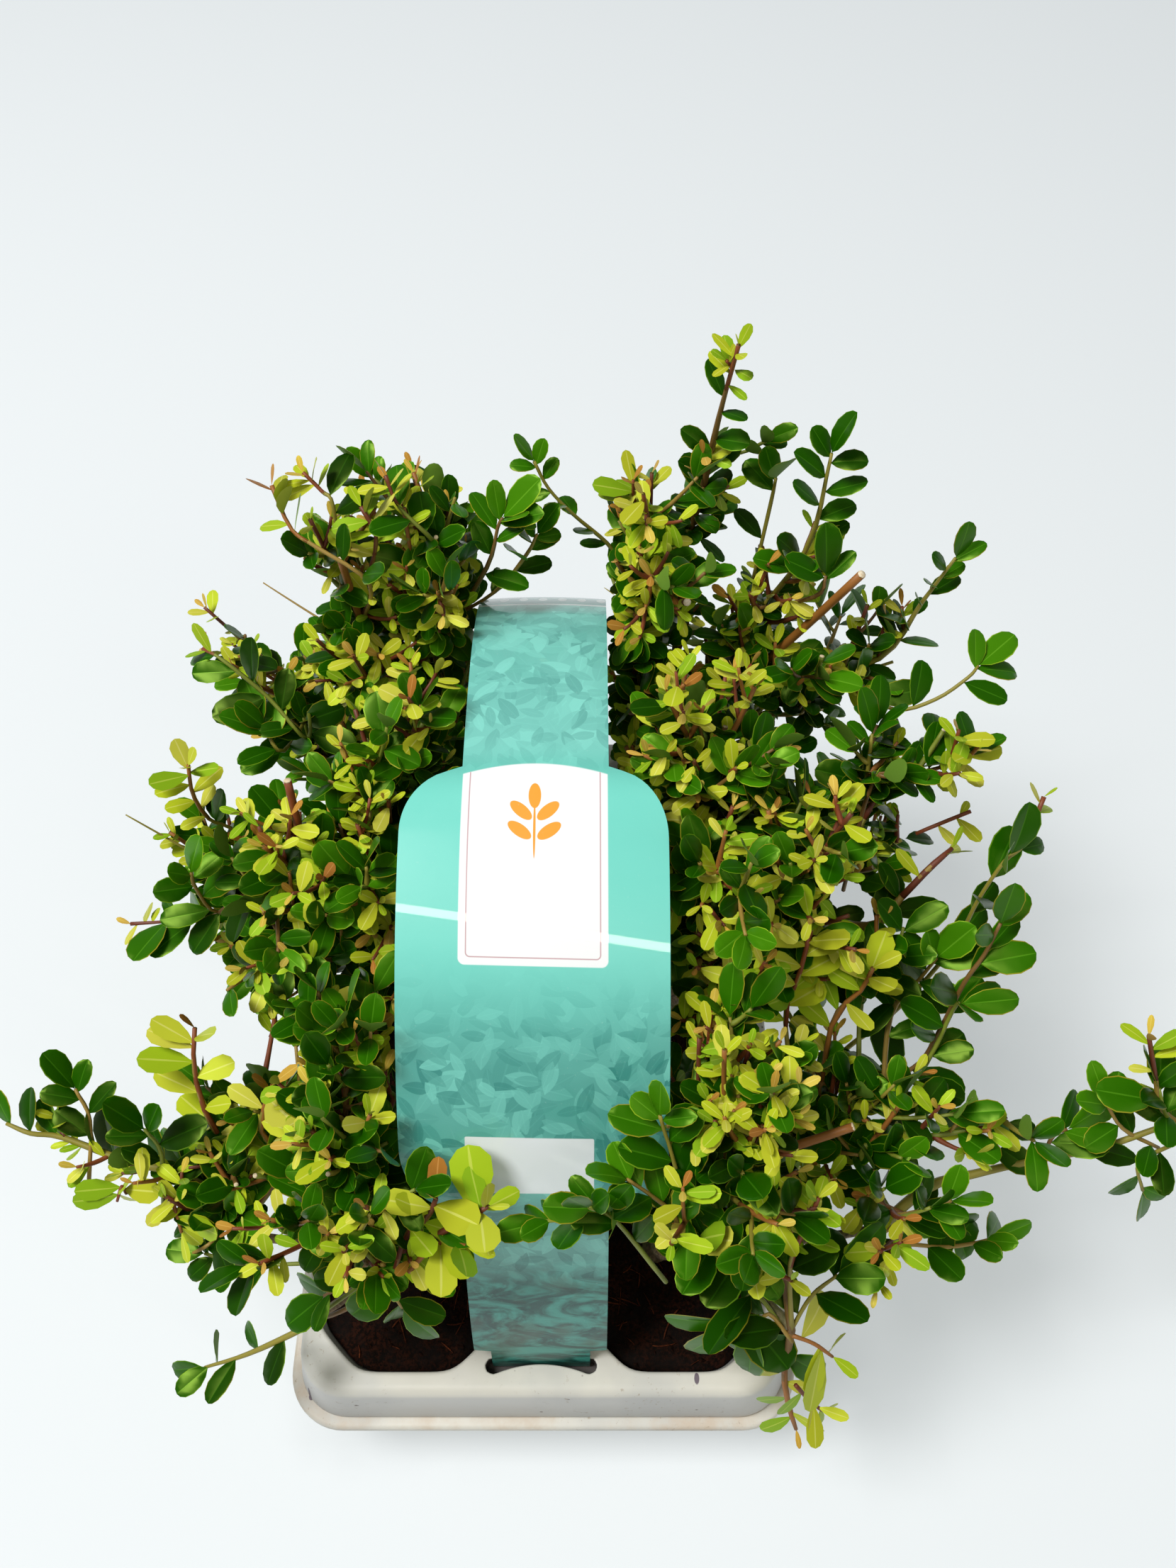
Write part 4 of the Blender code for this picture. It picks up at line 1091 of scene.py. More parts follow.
# shoots drawn along a way: the mass that they leave, then for each the share of its line where it leaves,
# radius, young, leaf size and share with no leaves as above, reach of its side twigs, and places
drawnShoots = [
    ("upper_right_back",
     (60, 8, 0, 100, 5, 0, (84, 110, 202), (84, 108, 214)),
     (50, 9, 0, 115, 75, 0, (100, 84, 179), (103, 85, 189))),
    ("tall_leader",
     (50, 7, 0, 72, 30, 0, (72, 118, 217), (80, 116, 224)),
     (45, 7, 0, 72, 30, 0, (60, 120, 206), (52, 118, 211)),
     (84, 7, 1, 72, 30, 0, (64, 108, 261), (62, 107, 264))),
    ("outer_right_back",
     (45, 9, 0, 120, 30, 0, (120, 80, 132), (134, 62, 141), (148, 62, 147), (159, 66, 155), (163, 70, 157)),
     (30, 8, 0, 100, 30, 0, (112, 98, 110), (140, 95, 130))),
    ("outer_right_middle",
     (45, 8, 2, 100, 20, 12, (122, 30, 138), (133, 30, 143), (145, 30, 148), (153, 30, 154), (155, 30, 160))),
    ("outer_right_front",
     (55, 10, 0, 120, 20, 0, (130, -55, 62), (142, -50, 70), (146, -45, 95), (149, -40, 117), (154, -35, 128),
      (157, -30, 141))),
    ("outer_right_middle",
     (10, 10, 1, 115, 34, 0, (108, -36, 46), (124, -34, 56), (135, -29, 68), (146, -22, 84), (155, -14, 100),
      (159, -8, 119), (165, -2, 135), (172, 3, 139), (178, 15, 151))),
    ("outer_right_front",
     (60, 10, 0, 110, 10, 0, (121, -30, 79), (129, -25, 99), (131, -18, 116)),
     (70, 10, 0, 110, 10, 0, (132, -34, 76), (140, -28, 96), (144, -25, 106))),
    ("outer_right_middle",
     (20, 9, 1, 110, 10, 0, (120, -25, 100), (121, -15, 120)),
     (30, 20, 2, 115, 8, 0, (122, -10, 102), (133, -3, 111), (142, 3, 122), (151, 10, 125))),
    ("outer_right_front",
     (35, 9, 3, 100, 25, 0, (88, -47, 100), (91, -39, 118), (94, -29, 134)),
     (40, 9, 3, 100, 25, 0, (105, -47, 95), (114, -40, 110), (117, -36, 120)),
     (45, 9, 0, 120, 20, 0, (137, -59, 75), (147, -45, 105), (149, -44, 108))),
    ("right_reach",
     (5, 14, 1, 120, 10, 14, (115, -86, 74), (129, -83, 79), (144, -82, 83), (156, -81, 88), (163, -79, 92)),
     (5, 9, 0, 102, 30, 0, (124, -107, 40), (138, -109, 42), (148, -110, 43), (158, -109, 44),
      (164, -108, 46)),
     (92, 10, 1, 110, 30, 0, (214, -80, 100), (208, -74, 114), (202, -66, 130)),
     (90, 9, 0, 115, 10, 0, (216, -82, 98), (210, -76, 110)),
     (80, 8, 0, 95, 10, 0, (204, -82, 88), (196, -76, 98)),
     (85, 8, 0, 90, 20, 0, (212, -90, 76), (216, -96, 64)),
     (45, 8, 0, 110, 10, 0, (182, -82, 78), (187, -80, 82)),
     (15, 8, 0, 100, 10, 0, (146, -98, 52), (152, -102, 44))),
    ("front_right_droop",
     (2, 10, 2, 110, 30, 0, (85, -126, 82), (89, -118, 98), (92, -112, 108)),
     (2, 14, 0, 110, 30, 0, (82, -124, 74), (66, -122, 82), (56, -121, 90)),
     (10, 8, 0, 145, 40, 0, (76, -130, 58), (71, -133, 50), (68, -136, 42)),
     (5, 8, 3, 120, 20, 0, (96, -144, 48), (103, -147, 42)),
     (45, 8, 2, 120, 20, 0, (97, -158, 22), (102, -160, 16)),
     (10, 8, 0, 135, 20, 0, (80, -136, 56), (76, -140, 46)),
     (0, 8, 0, 125, 20, 0, (94, -132, 64), (103, -126, 68))),
    ("front_right_cross",
     (5, 8, 3, 100, 30, 0, (56, -124, 88), (50, -120, 100)),
     (15, 8, 0, 95, 35, 0, (46, -116, 100), (38, -112, 110), (30, -110, 120)),
     (40, 8, 0, 100, 30, 0, (26, -120, 112), (18, -120, 124))),
    ("upper_right_front",
     (40, 8, 0, 100, 40, 0, (50, -108, 106), (43, -100, 126), (40, -96, 138))),
    ("front_left_cross",
     (30, 9, 3, 100, 30, 0, (-32, -122, 92), (-22, -124, 96)),
     (0, 9, 0, 110, 30, 0, (-62, -127, 66), (-74, -130, 56)),
     (20, 9, 3, 110, 20, 0, (-42, -118, 90), (-35, -116, 98), (-31, -113, 110)),
     (5, 8, 0, 100, 35, 0, (-62, -116, 84), (-51, -112, 96), (-38, -110, 110)),
     (10, 8, 0, 110, 55, 0, (-50, -124, 70), (-50, -129, 60), (-47, -133, 52))),
    ("front_left_low",
     (0, 10, 0, 90, 62, 0, (-72, -134, 46), (-56, -130, 58), (-38, -124, 72), (-26, -117, 88)),
     (0, 9, 0, 80, 66, 0, (-54, -118, 54), (-81, -117, 48), (-107, -116, 42), (-122, -112, 42))),
    ("left_reach",
     (5, 10, 3, 110, 20, 0, (-113, -84, 62), (-118, -75, 80), (-120, -65, 98), (-118, -55, 112)),
     (45, 8, 3, 120, 20, 0, (-150, -94, 62), (-152, -98, 58)),
     (30, 9, 0, 115, 20, 0, (-134, -86, 74), (-136, -83, 90)),
     (30, 8, 3, 120, 20, 0, (-132, -98, 60), (-128, -108, 54)),
     (60, 8, 0, 95, 35, 0, (-162, -74, 74), (-166, -66, 84)),
     (0, 9, 3, 100, 20, 0, (-93, -88, 62), (-98, -80, 82), (-92, -70, 98))),
    ("upper_left_front",
     (55, 9, 3, 100, 25, 0, (-68, -69, 100), (-62, -65, 110), (-58, -61, 120)),
     (50, 9, 3, 100, 25, 0, (-49, -79, 102), (-50, -76, 110), (-50, -73, 118))),
    ("outer_left_middle",
     (40, 8, 2, 100, 25, 0, (-118, 30, 102), (-127, 30, 114), (-129, 30, 131), (-126, 30, 149)),
     (50, 8, 0, 110, 25, 0, (-123, 0, 95), (-127, 0, 113), (-126, 0, 124)),
     (45, 9, 1, 110, 25, 0, (-108, 0, 110), (-128, 0, 90), (-143, 0, 88), (-159, 0, 86))),
    ("outer_left_back",
     (40, 9, 0, 115, 20, 0, (-100, 55, 124), (-106, 59, 136)),
     (45, 9, 1, 115, 20, 0, (-91, 60, 125), (-104, 67, 142), (-119, 73, 157), (-128, 80, 155))),
    ("upper_left_back",
     (55, 8, 2, 105, 30, 0, (-60, 80, 190), (-77, 85, 203), (-86, 90, 207), (-92, 100, 218)),
     (60, 8, 2, 100, 30, 0, (-58, 94, 196), (-62, 98, 210)),
     (70, 8, 1, 100, 30, 0, (-73, 103, 205), (-77, 107, 209), (-83, 110, 215))),
    ("inner_left_back",
     (50, 9, 0, 110, 30, 0, (-20, 100, 178), (-15, 102, 196), (-13, 103, 200)),
     (70, 9, 1, 100, 30, 0, (-46, 98, 182), (-48, 103, 205)),
     (75, 8, 1, 100, 30, 0, (-38, 98, 193), (-49, 100, 208), (-53, 105, 218)),
     (55, 8, 0, 85, 30, 0, (-18, 105, 160), (-5, 103, 182), (-1, 104, 191))),
    ("inner_right_back",
     (55, 8, 0, 78, 30, 0, (32, 118, 160), (25, 120, 171), (12, 121, 185), (3, 123, 196), (-2, 125, 207)),
     (85, 8, 2, 90, 30, 0, (35, 116, 196), (34, 115, 207))),
    ("left_reach",
     (5, 8, 0, 100, 30, 0, (-120, -110, 46), (-128, -112, 40))),
]
# bushy side limbs that close the crown beside the strap and over the front cells: mass, share of its line and
# young tips in hundredths, tip and spread in millimetres
sideLimbs = [
    ("upper_left_front", 35, (-57, -104, 90), 28, 45),
    ("upper_left_front", 55, (-61, -62, 136), 30, 45),
    ("inner_left_middle", 40, (-58, -22, 152), 30, 50),
    ("inner_left_middle", 75, (-40, 36, 176), 26, 50),
    ("inner_left_back", 60, (-36, 80, 186), 28, 60),
    ("upper_right_front", 35, (62, -100, 92), 26, 30),
    ("upper_right_front", 55, (64, -62, 136), 30, 60),
    ("inner_right_middle", 40, (61, -20, 158), 30, 60),
    ("inner_right_middle", 75, (44, 36, 184), 26, 50),
    ("inner_right_back", 60, (40, 80, 194), 28, 50),
    ("upper_right_middle", 30, (56, -52, 112), 24, 60),
    ("upper_right_back", 35, (106, 70, 150), 26, 20),
    ("right_reach", 10, (116, -100, 70), 28, 40),
    ("left_reach", 10, (-108, -92, 70), 26, 40),
    ("outer_left_front", 60, (-100, -36, 78), 24, 15),
    ("outer_left_middle", 30, (-116, -30, 90), 22, 15),
    ("outer_right_middle", 30, (118, -22, 88), 24, 10),
    ("outer_right_middle", 50, (122, 45, 148), 26, 15),
    ("inner_right_back", 35, (35, 90, 158), 22, 30),
    ("inner_right_back", 30, (32, 66, 134), 21, 20),
    ("inner_right_middle", 70, (32, 48, 128), 21, 20),
    ("inner_left_middle", 5, (-36, 20, 110), 26, 0),
    ("inner_right_middle", 5, (37, 20, 110), 26, 0),
    ("inner_left_back", 10, (-36, 70, 120), 26, 0),
    ("inner_right_back", 10, (37, 70, 120), 26, 0),
    ("upper_left_front", 5, (-44, -60, 80), 26, 0),
    ("upper_right_front", 5, (46, -60, 80), 26, 0),
]
# thick clipped stubs with a pale cut end: mass, share of its line, tip, radius in tenths of a millimetre
stubs = [
    ("upper_right_back", 10, (113, 76, 199), 16),
    ("inner_right_back", 60, (53, 75, 186), 15),
    ("upper_right_front", 45, (61, -89, 112), 15),
    ("upper_right_front", 50, (105, -90, 112), 15),
    ("upper_left_middle", 60, (-84, 10, 168), 14),
    ("upper_left_back", 50, (-70, 86, 196), 14),
]
# thin dead twigs with no leaves: mass, share of its line, tip
deadTwigs = [
    ("upper_left_back", 45, (-114, 125, 144)),
    ("outer_left_middle", 60, (-158, 30, 117)),
]
# round gaps in the crown where the sky shows, in the picture: across, down and radius in pixels
skyGaps = [
    (400, 805, 30), (434, 829, 24), (402, 866, 28), (345, 850, 40), (322, 800, 28), (350, 1462, 27),
    (388, 1490, 28), (338, 1522, 18), (633, 590, 48), (930, 618, 30), (990, 590, 20), (948, 688, 20),
    (1106, 715, 20), (1101, 813, 18), (1240, 772, 26), (1290, 738, 28), (1345, 745, 24), (1202, 1266, 26),
    (1304, 1154, 24), (1224, 1169, 12), (1326, 1247, 22), (1316, 1449, 12), (1425, 1452, 34),
    (1415, 1085, 30), (1400, 1150, 30), (1345, 930, 24), (150, 1765, 30), (230, 1790, 26),
    (300, 1390, 20), (1268, 1690, 24), (1268, 930, 26), (893, 588, 34), (650, 665, 18), (430, 705, 14),
    (390, 915, 20), (40, 1640, 30), (165, 1715, 22), (1400, 1508, 28), (1450, 1555, 28), (860, 640, 14),
    (262, 822, 24), (1380, 1020, 22),
]
gapX, gapY, gapSize = np.array(skyGaps, float).T
twigs = {"old": [], "young": []}
leaves = {"mature": [], "young": [], "bronze": []}
cuts = []
dice = np.random.default_rng(limb["seed"])
boxLow, boxHigh = np.array(cadBox[0]), np.array(cadBox[1])
golden = math.radians(limb["goldenAngle"])


# whether a place would stand before or behind a gap of the picture
def inGap(place):
    across, down = inPicture(place)
    return bool((np.hypot(gapX - across, gapY - down) < gapSize).any())


# whether a leaf or twig may end at a place: clear of the strap, its valley, the tray and the ground, in reach
def isFree(place, isLoose=False):
    x, y, z = place - middle
    past, off = grow["pastBox"], grow["offTray"]
    if (place < boxLow - past).any() or (place > boxHigh + past).any() or inGap(place):
        return False
    if abs(x) < limb["valley"] and y > -tray["pitchY"] and not isLoose:
        return False
    if abs(y) < grow["strapReach"]:
        away = np.hypot(strapY - place[1], strapZ - place[2])
        half = strapWide[int(away.argmin())]
        isOver = place[2] > np.interp(place[1], strapY[20:-20], strapZ[20:-20])
        if abs(x) < half + grow["offStrap"] and away.min() < grow["nearStrap"]:
            return False
        if isOver and abs(x) < half - grow["insideStrap"] and y > grow["openFront"] and not isLoose:
            return False
    if abs(x) < tray["width"] / 2 + off and abs(y) < tray["length"] / 2 + off:
        return z > off
    return place[2] > grow["offGround"]


# a way that leans from an axis by an angle, turned round it
def turned(axis, lean, spin):
    steady = np.array([0, 1.0, 0]) if abs(axis[2]) > 0.8 else up
    side = unit(np.cross(axis, steady))
    other = np.cross(axis, side)
    side = side * math.cos(spin) + other * math.sin(spin)
    return unit(axis * math.cos(lean) + side * math.sin(lean)), side


# the place at a share of a path, and the way that the path runs there
def alongPath(path, share):
    at = share * (len(path) - 1)
    before = min(int(at), len(path) - 2)
    step = path[before + 1] - path[before]
    return path[before] + step * (at - before), unit(step)


# the length of a path
def pathLength(path):
    return np.linalg.norm(np.diff(path, axis=0), axis=1).sum()


# a leaf leans out from its twig with its upper face towards the twig's tip and the sky
def addLeaf(kind, group, tone, place, axis, spin, lean, length, isLoose=False):
    way, side = turned(axis, lean, spin)
    if not isFree(place + way * length, isLoose) or inGap(place + way * length * 0.5):
        return
    face = axis * math.sin(lean) - side * math.cos(lean)
    if kind != "mature":
        keeps, lifts, towardsViewer, chance = 0.7, 1.1, -0.30, 0.18
    elif isLoose:
        keeps, lifts, towardsViewer, chance = 0.5, 1.1, -0.60, 0.22
    else:
        keeps, lifts, towardsViewer, chance = 0.9, grow["upward"], 0.0, 0.20
    face = unit(face * keeps + up * lifts + np.array([0, towardsViewer, 0]) + dice.normal(0, chance, 3))
    leaves[kind].append((group, tone, place, way, face, length, dice.uniform(-1, 1, 4)))


# a shoot: leaves darker at its foot and lighter towards its tip, partly older leaves and partly painted shade
# inside the crown, turned by the golden angle, or in two ranks on a loose one. A young one ends in a red stem
# with lime leaves and a rosette, maybe bronze
def addShoot(group, path, radius, young, spin, bare=0.12, scale=1.0, isClipped=False, isLoose=False):
    scale = scale * (1.0 if isLoose else grow["rowLeaf"][cells[group][1]])
    # painted shade: the shoot's leaves start from a random dark tone and take lighter tones towards its tip,
    # so leaves deep in the crown are painted darker
    dark = dice.uniform(-0.7, 1.7)
    length = pathLength(path)
    isShort = length < grow["shortTwig"]
    t = np.linspace(0, 1, len(path))
    tipRadius = radius * 0.85 if isClipped else grow["twigTip"]
    radii = (radius + (tipRadius - radius) * t**1.5) * (1 + 0.08 * np.sin(t * 9 + spin))
    twigs["young" if young and isShort else "old"].append((group, path, radii))
    lime = grow["youngLeaf"], grow["limeSize"][int(young)]
    redFrom = 2.0 if not young else max(0.0, 1 - grow["redLength"] * young / length)
    share, step = bare, grow["leafStep"] * (0.3 + 0.7 * scale) * (1.5 if isLoose else 1.0) / length
    turn = dice.uniform(-0.3, 0.3) if isLoose else spin
    while share < (0.90 if young else 0.97):
        place, ahead = alongPath(path, share)
        lean = math.radians(dice.uniform(*grow["leafLean"]))
        turn += math.pi + dice.uniform(-0.35, 0.35) if isLoose else golden
        if share > redFrom:
            size = lime[0] * dice.uniform(0.78, 1.15) * lime[1]
            addLeaf("young", group, int(dice.integers(0, 6)), place, ahead, turn, lean + 0.22, size, isLoose)
        else:
            size = grow["leaf"] * scale * dice.uniform(0.72, 1.14) * (0.86 + 0.14 * math.sin(math.pi * share))
            tone = int(np.clip(dark + 2.9 * share + dice.uniform(-0.8, 0.8), 0, 5))
            addLeaf("mature", group, tone, place, ahead, turn, lean, size, isLoose)
        share += step * (0.8 if isLoose and share > redFrom else 1.4 if share > redFrom else 1.0)
    tip, ahead = path[-1], unit(path[-1] - path[-2])
    if young:
        count = int(dice.integers(3, 6))
        hasBronze = dice.uniform() < 0.6
        for k in range(count):
            near = k / (count - 1)
            kind = "bronze" if hasBronze and near > 0.66 else "young"
            size = lime[0] * (1.10 - 0.50 * near) * dice.uniform(0.85, 1.2) * lime[1]
            tone, foot = int(dice.integers(0, 6)), tip - ahead * 0.006 * (1 - near)
            lean = math.radians(70 - 42 * near + dice.uniform(-8, 8))
            addLeaf(kind, group, tone, foot, ahead, turn + k * golden, lean, size, isLoose)
        if not isShort:
            # the red stem lies over the end of the older twig
            over = np.linspace(redFrom, 1, 6)
            red = np.array([alongPath(path, s)[0] for s in over])
            twigs["young"].append((group, red, np.interp(over, t, radii) * np.linspace(1.02, 1.30, 6)))
    elif isClipped:
        cuts.append((tip + ahead * cutSteps, radii[-1]))
    else:
        # the pair at the tip takes a lighter tone: partly younger leaves and partly painted light on the
        # crown's outside
        tone = int(np.clip(dark + 3.0, 0, 5))
        for angle, turnBy, share in ((12, 0, 1.0), (38, math.pi, 0.84)):
            foot = tip - ahead * 0.002 * (1 - share) * 6
            size = grow["leaf"] * scale * share * dice.uniform(0.85, 1.08)
            addLeaf("mature", group, tone, foot, ahead, turn + turnBy, math.radians(angle), size, isLoose)


# a smooth way through places: each cubic piece leaves and enters along the chord of its neighbours
def smoothWay(places, perPiece=4):
    p = np.array(places)
    knots = np.concatenate([[2 * p[0] - p[1]], p, [2 * p[-1] - p[-2]]])
    t = np.linspace(0, 1, perPiece, endpoint=False)[None, :, None]
    a, b, c, d = (knots[k : len(knots) - 3 + k][:, None] for k in range(4))
    piece = b + 0.5 * ((c - a) * t + (2 * a - 5 * b + 4 * c - d) * t**2 + (3 * b - a - 3 * c + d) * t**3)
    return np.concatenate([piece.reshape(-1, 3), p[-1:]])


# a curve that starts one way and bends towards the sky: start + way t + lift t squared
def bendUp(start, way, length, lift, stations=7):
    t = np.linspace(0, 1, stations)[:, None]
    wobble = dice.normal(0, 0.03, 3) * length
    return start + way * length * t + (up * lift * length + wobble) * t * t


# twigs along a limb by the golden angle, each with side shoots; a strict limb keeps them in its own space
def growBush(index, path, spread, taper, young, step, isStrict, isLoose=False):
    group, tuft = groupOf(index), grow["leaf"] * 0.6
    spin = dice.uniform(0, 2 * math.pi)
    count = max(5, round(pathLength(path) / step))
    for k in range(count):
        share = 0.03 + 0.92 * k / (count - 1)
        start, heading = alongPath(path, share)
        spin += golden
        way, _ = turned(heading, math.radians(dice.uniform(*grow["twigLean"])), spin)
        widest = spread * (1 - taper * share**1.2)
        isYoung = dice.uniform() < young
        room = widest * dice.uniform(0.80 if isYoung else 0.55, 1.12 if isYoung else 0.98)
        room = room * (1 + limb["rowStretch"] * abs(way[1])) - tuft
        for shorter in (1.0, 0.8, 0.62, 0.45):
            reach = room * shorter
            twig = bendUp(start, way, reach, grow["lift"] * (1.6 if isYoung else 1.0))
            end = twig[-1] + unit(twig[-1] - twig[-2]) * grow["leaf"] * 0.6
            isOpen = reach > grow["shortest"] and isFree(end, isLoose)
            isOpen = isOpen and not any(inGap(point) for point in twig[2:])
            if isOpen and (not isStrict or nearestMass(end) == index):
                break
        else:
            if widest > 0.016:
                # painted shade: a leaf left on the limb itself, deep in the crown, takes one of the four
                # darker tones
                tone = int(dice.integers(0, 4))
                addLeaf("mature", group, tone, start, heading, spin, 1.0, grow["leaf"] * 0.9, isLoose)
            continue
        isYoung = isYoung and reach > 0.4 * widest
        isClipped = not isYoung and dice.uniform() < grow["clipped"]
        bare = 0.30 if reach > 0.024 else 0.15
        addShoot(group, twig, grow["twigFoot"], isYoung, spin, bare, isClipped=isClipped)
        if reach > grow["sideTwig"]:
            for _ in range(int(dice.integers(1, 2 + round(reach / grow["sideTwig"])))):
                foot, ahead = alongPath(twig, dice.uniform(0.30, 0.85))
                lean = math.radians(dice.uniform(*grow["sideLean"]))
                branch, _ = turned(ahead, lean, dice.uniform(0, 2 * math.pi))
                shoot = bendUp(foot, branch, dice.uniform(*grow["branch"]), 0.35, 5)
                if isFree(shoot[-1]):
                    addShoot(group, shoot, grow["branchFoot"], dice.uniform() < young, spin + 1, 0.15, 0.92)


# the number of the cell that a mass grows from
def groupOf(index):
    return cells.index(masses[index][1:3])


# where a mass's line is at a share in hundredths
def onLine(name, share):
    _, _, _, base, tip, _ = masses[massIndex[name]]
    return base + (tip - base) * (share / 100)


# a limb that leaves a mass's line and sags a little on its way to a tip
def sideLimb(name, share, place, sag=0.08, stations=12):
    start, end = onLine(name, share), np.clip(deckPlace(place), boxLow + 0.006, boxHigh - 0.006)
    t = np.linspace(0, 1, stations)[:, None]
    pull = (start + end) / 2 - up * sag * np.linalg.norm(end - start)
    return start * (1 - t) ** 2 + pull * 2 * t * (1 - t) + end * t**2


# a shoot drawn along a way of places in millimetres, with its sizes in tenths of a millimetre and hundredths
def drawShoot(index, start, radius, young, scale, bare, places):
    path = smoothWay([start, *(deckPlace(place) for place in places)])
    spin = dice.uniform(0, grow["anyTurn"])
    addShoot(groupOf(index), path, radius / 10000, young, spin, bare / 100, scale / 100, isLoose=True)
    return path


cutSteps = np.array([[-0.0002], [0.0001], [0.0003]])  # the thin pale disc on a cut end
for index, (name, side, row, base, tip, spread) in enumerate(masses):
    if name in ownWays:
        radius, young, scale, bare, *places = ownWays[name]
        stemPath = drawShoot(index, base, radius, young, scale, bare, places)
    else:
        heading, line = unit(tip - base), np.linspace(0, 1, 14)[:, None]
        bow = np.cross(heading, dice.normal(0, 1, 3)) * 0.004
        stemPath = base + (tip - heading * grow["leaf"] * 0.8 - base) * line + bow * np.sin(line * math.pi)
        isYoung = youngShare[name] > dice.uniform(0, 0.7)
        addShoot(groupOf(index), stemPath, limb["boughTip"], isYoung, dice.uniform(0, grow["anyTurn"]), 0.05)
        # drawn only as far as the first gap of the picture
        kept = next((k for k in range(6, len(stemPath)) if inGap(stemPath[k])), len(stemPath))
        for drawn in twigs.values():
            if drawn and drawn[-1][1] is stemPath:
                drawn[-1] = (groupOf(index), stemPath[:kept], drawn[-1][2][:kept])
    kind = name.split("_")[0]
    reach = grow["shootSpread"].get(name, spread * grow["full"].get(kind, 1.0))
    taper = 1.0 if name in grow["pointed"] else grow["taper"].get(kind, 0.6)
    if reach:
        growBush(index, stemPath, reach, taper, youngShare[name], grow["twigStep"], True)
for name, share, place, spread, young in sideLimbs:
    path, index, young = sideLimb(name, share, place), massIndex[name], young / 100
    isYoung, spin = dice.uniform() < young, dice.uniform(0, grow["anyTurn"])
    addShoot(groupOf(index), path, grow["limbFoot"], isYoung, spin, 0.2)
    growBush(index, path, spread / 1000, 0.4, young, grow["twigStep"] * 1.15, False)
for name, *own in drawnShoots:
    for share, radius, young, scale, bare, spread, *places in own:
        index = massIndex[name]
        path = drawShoot(index, onLine(name, share), radius, young, scale, bare, places)
        if spread:
            wide, chance = spread / 1000 + grow["leaf"] * 0.6, 0.5 if young else 0.1
            growBush(index, path, wide, 0.3, chance, grow["twigStep"] * 2, False, True)
for name, share, place, radius in stubs:
    path, radius = sideLimb(name, share, place, 0.04), radius / 10000
    twigs["young"].append((groupOf(massIndex[name]), path, np.linspace(radius * 1.15, radius, len(path))))
    cuts.append((path[-1] + unit(path[-1] - path[-2]) * cutSteps, radius))
for name, share, place in deadTwigs:
    path = sideLimb(name, share, place, 0.02)
    twigs["old"].append((groupOf(massIndex[name]), path, np.linspace(0.0008, 0.0003, len(path))))
print("grown: twigs", len(twigs["old"]), len(twigs["young"]), "leaves", *map(len, leaves.values()))

# The leaf

# for each kind: places along the leaf, half its width there as a share of its widest, the columns of its
# upper face, the part of the finish between them (blade 0, rib 1, margin 2), and its fold along the rib
leafShape = {
    "mature": {"along": (0.06, 0.20, 0.42, 0.66, 0.86, 0.965), "half": (0.09, 0.56, 0.93, 1.0, 0.78, 0.42),
               "columns": (-1, -0.93, -0.045, 0.045, 0.93, 1), "parts": (2, 0, 1, 0, 2),
               "fold": (0.18, 0.14)},
    "young": {"along": (0.05, 0.24, 0.52, 0.79, 0.95), "half": (0.14, 0.58, 0.97, 0.96, 0.52),
              "columns": (-1, -0.072, 0.072, 1), "parts": (0, 1, 0), "fold": (0.06, 0.08)},
    "slim": 0.54, "youngSlim": 0.40, "youngBroader": 20.0, "thick": 0.00032,
}
leafShape["bronze"] = leafShape["young"]
underside = 3  # the finish part of a leaf's lower face


# the faces of one closed leaf of s stations: columns of parts above, one line below, a point at each end
def leafFaces(s, parts):
    c = len(parts) + 1
    below, row, column = s * c + np.arange(s), np.arange(s - 1), np.arange(c - 1)
    foot, tip, last = s * c + s, s * c + s + 1, (s - 1) * c
    quads = np.concatenate([
        gridFaces(s, c),
        np.stack([row * c, (row + 1) * c, below[1:], below[:-1]], -1),
        np.stack([below[:-1], below[1:], (row + 1) * c + c - 1, row * c + c - 1], -1),
    ])
    tris = np.concatenate([
        np.stack([np.full(c - 1, foot), column + 1, column], -1),
        np.stack([last + column, last + column + 1, np.full(c - 1, tip)], -1),
        [[foot, 0, below[0]], [foot, below[0], c - 1]],
        [[tip, below[-1], last], [tip, last + c - 1, below[-1]]],
    ])
    quadPart = np.concatenate([np.tile(parts, s - 1), np.full(2 * (s - 1), underside)])
    return quads, tris, quadPart, np.concatenate([parts, parts, np.full(4, underside)])


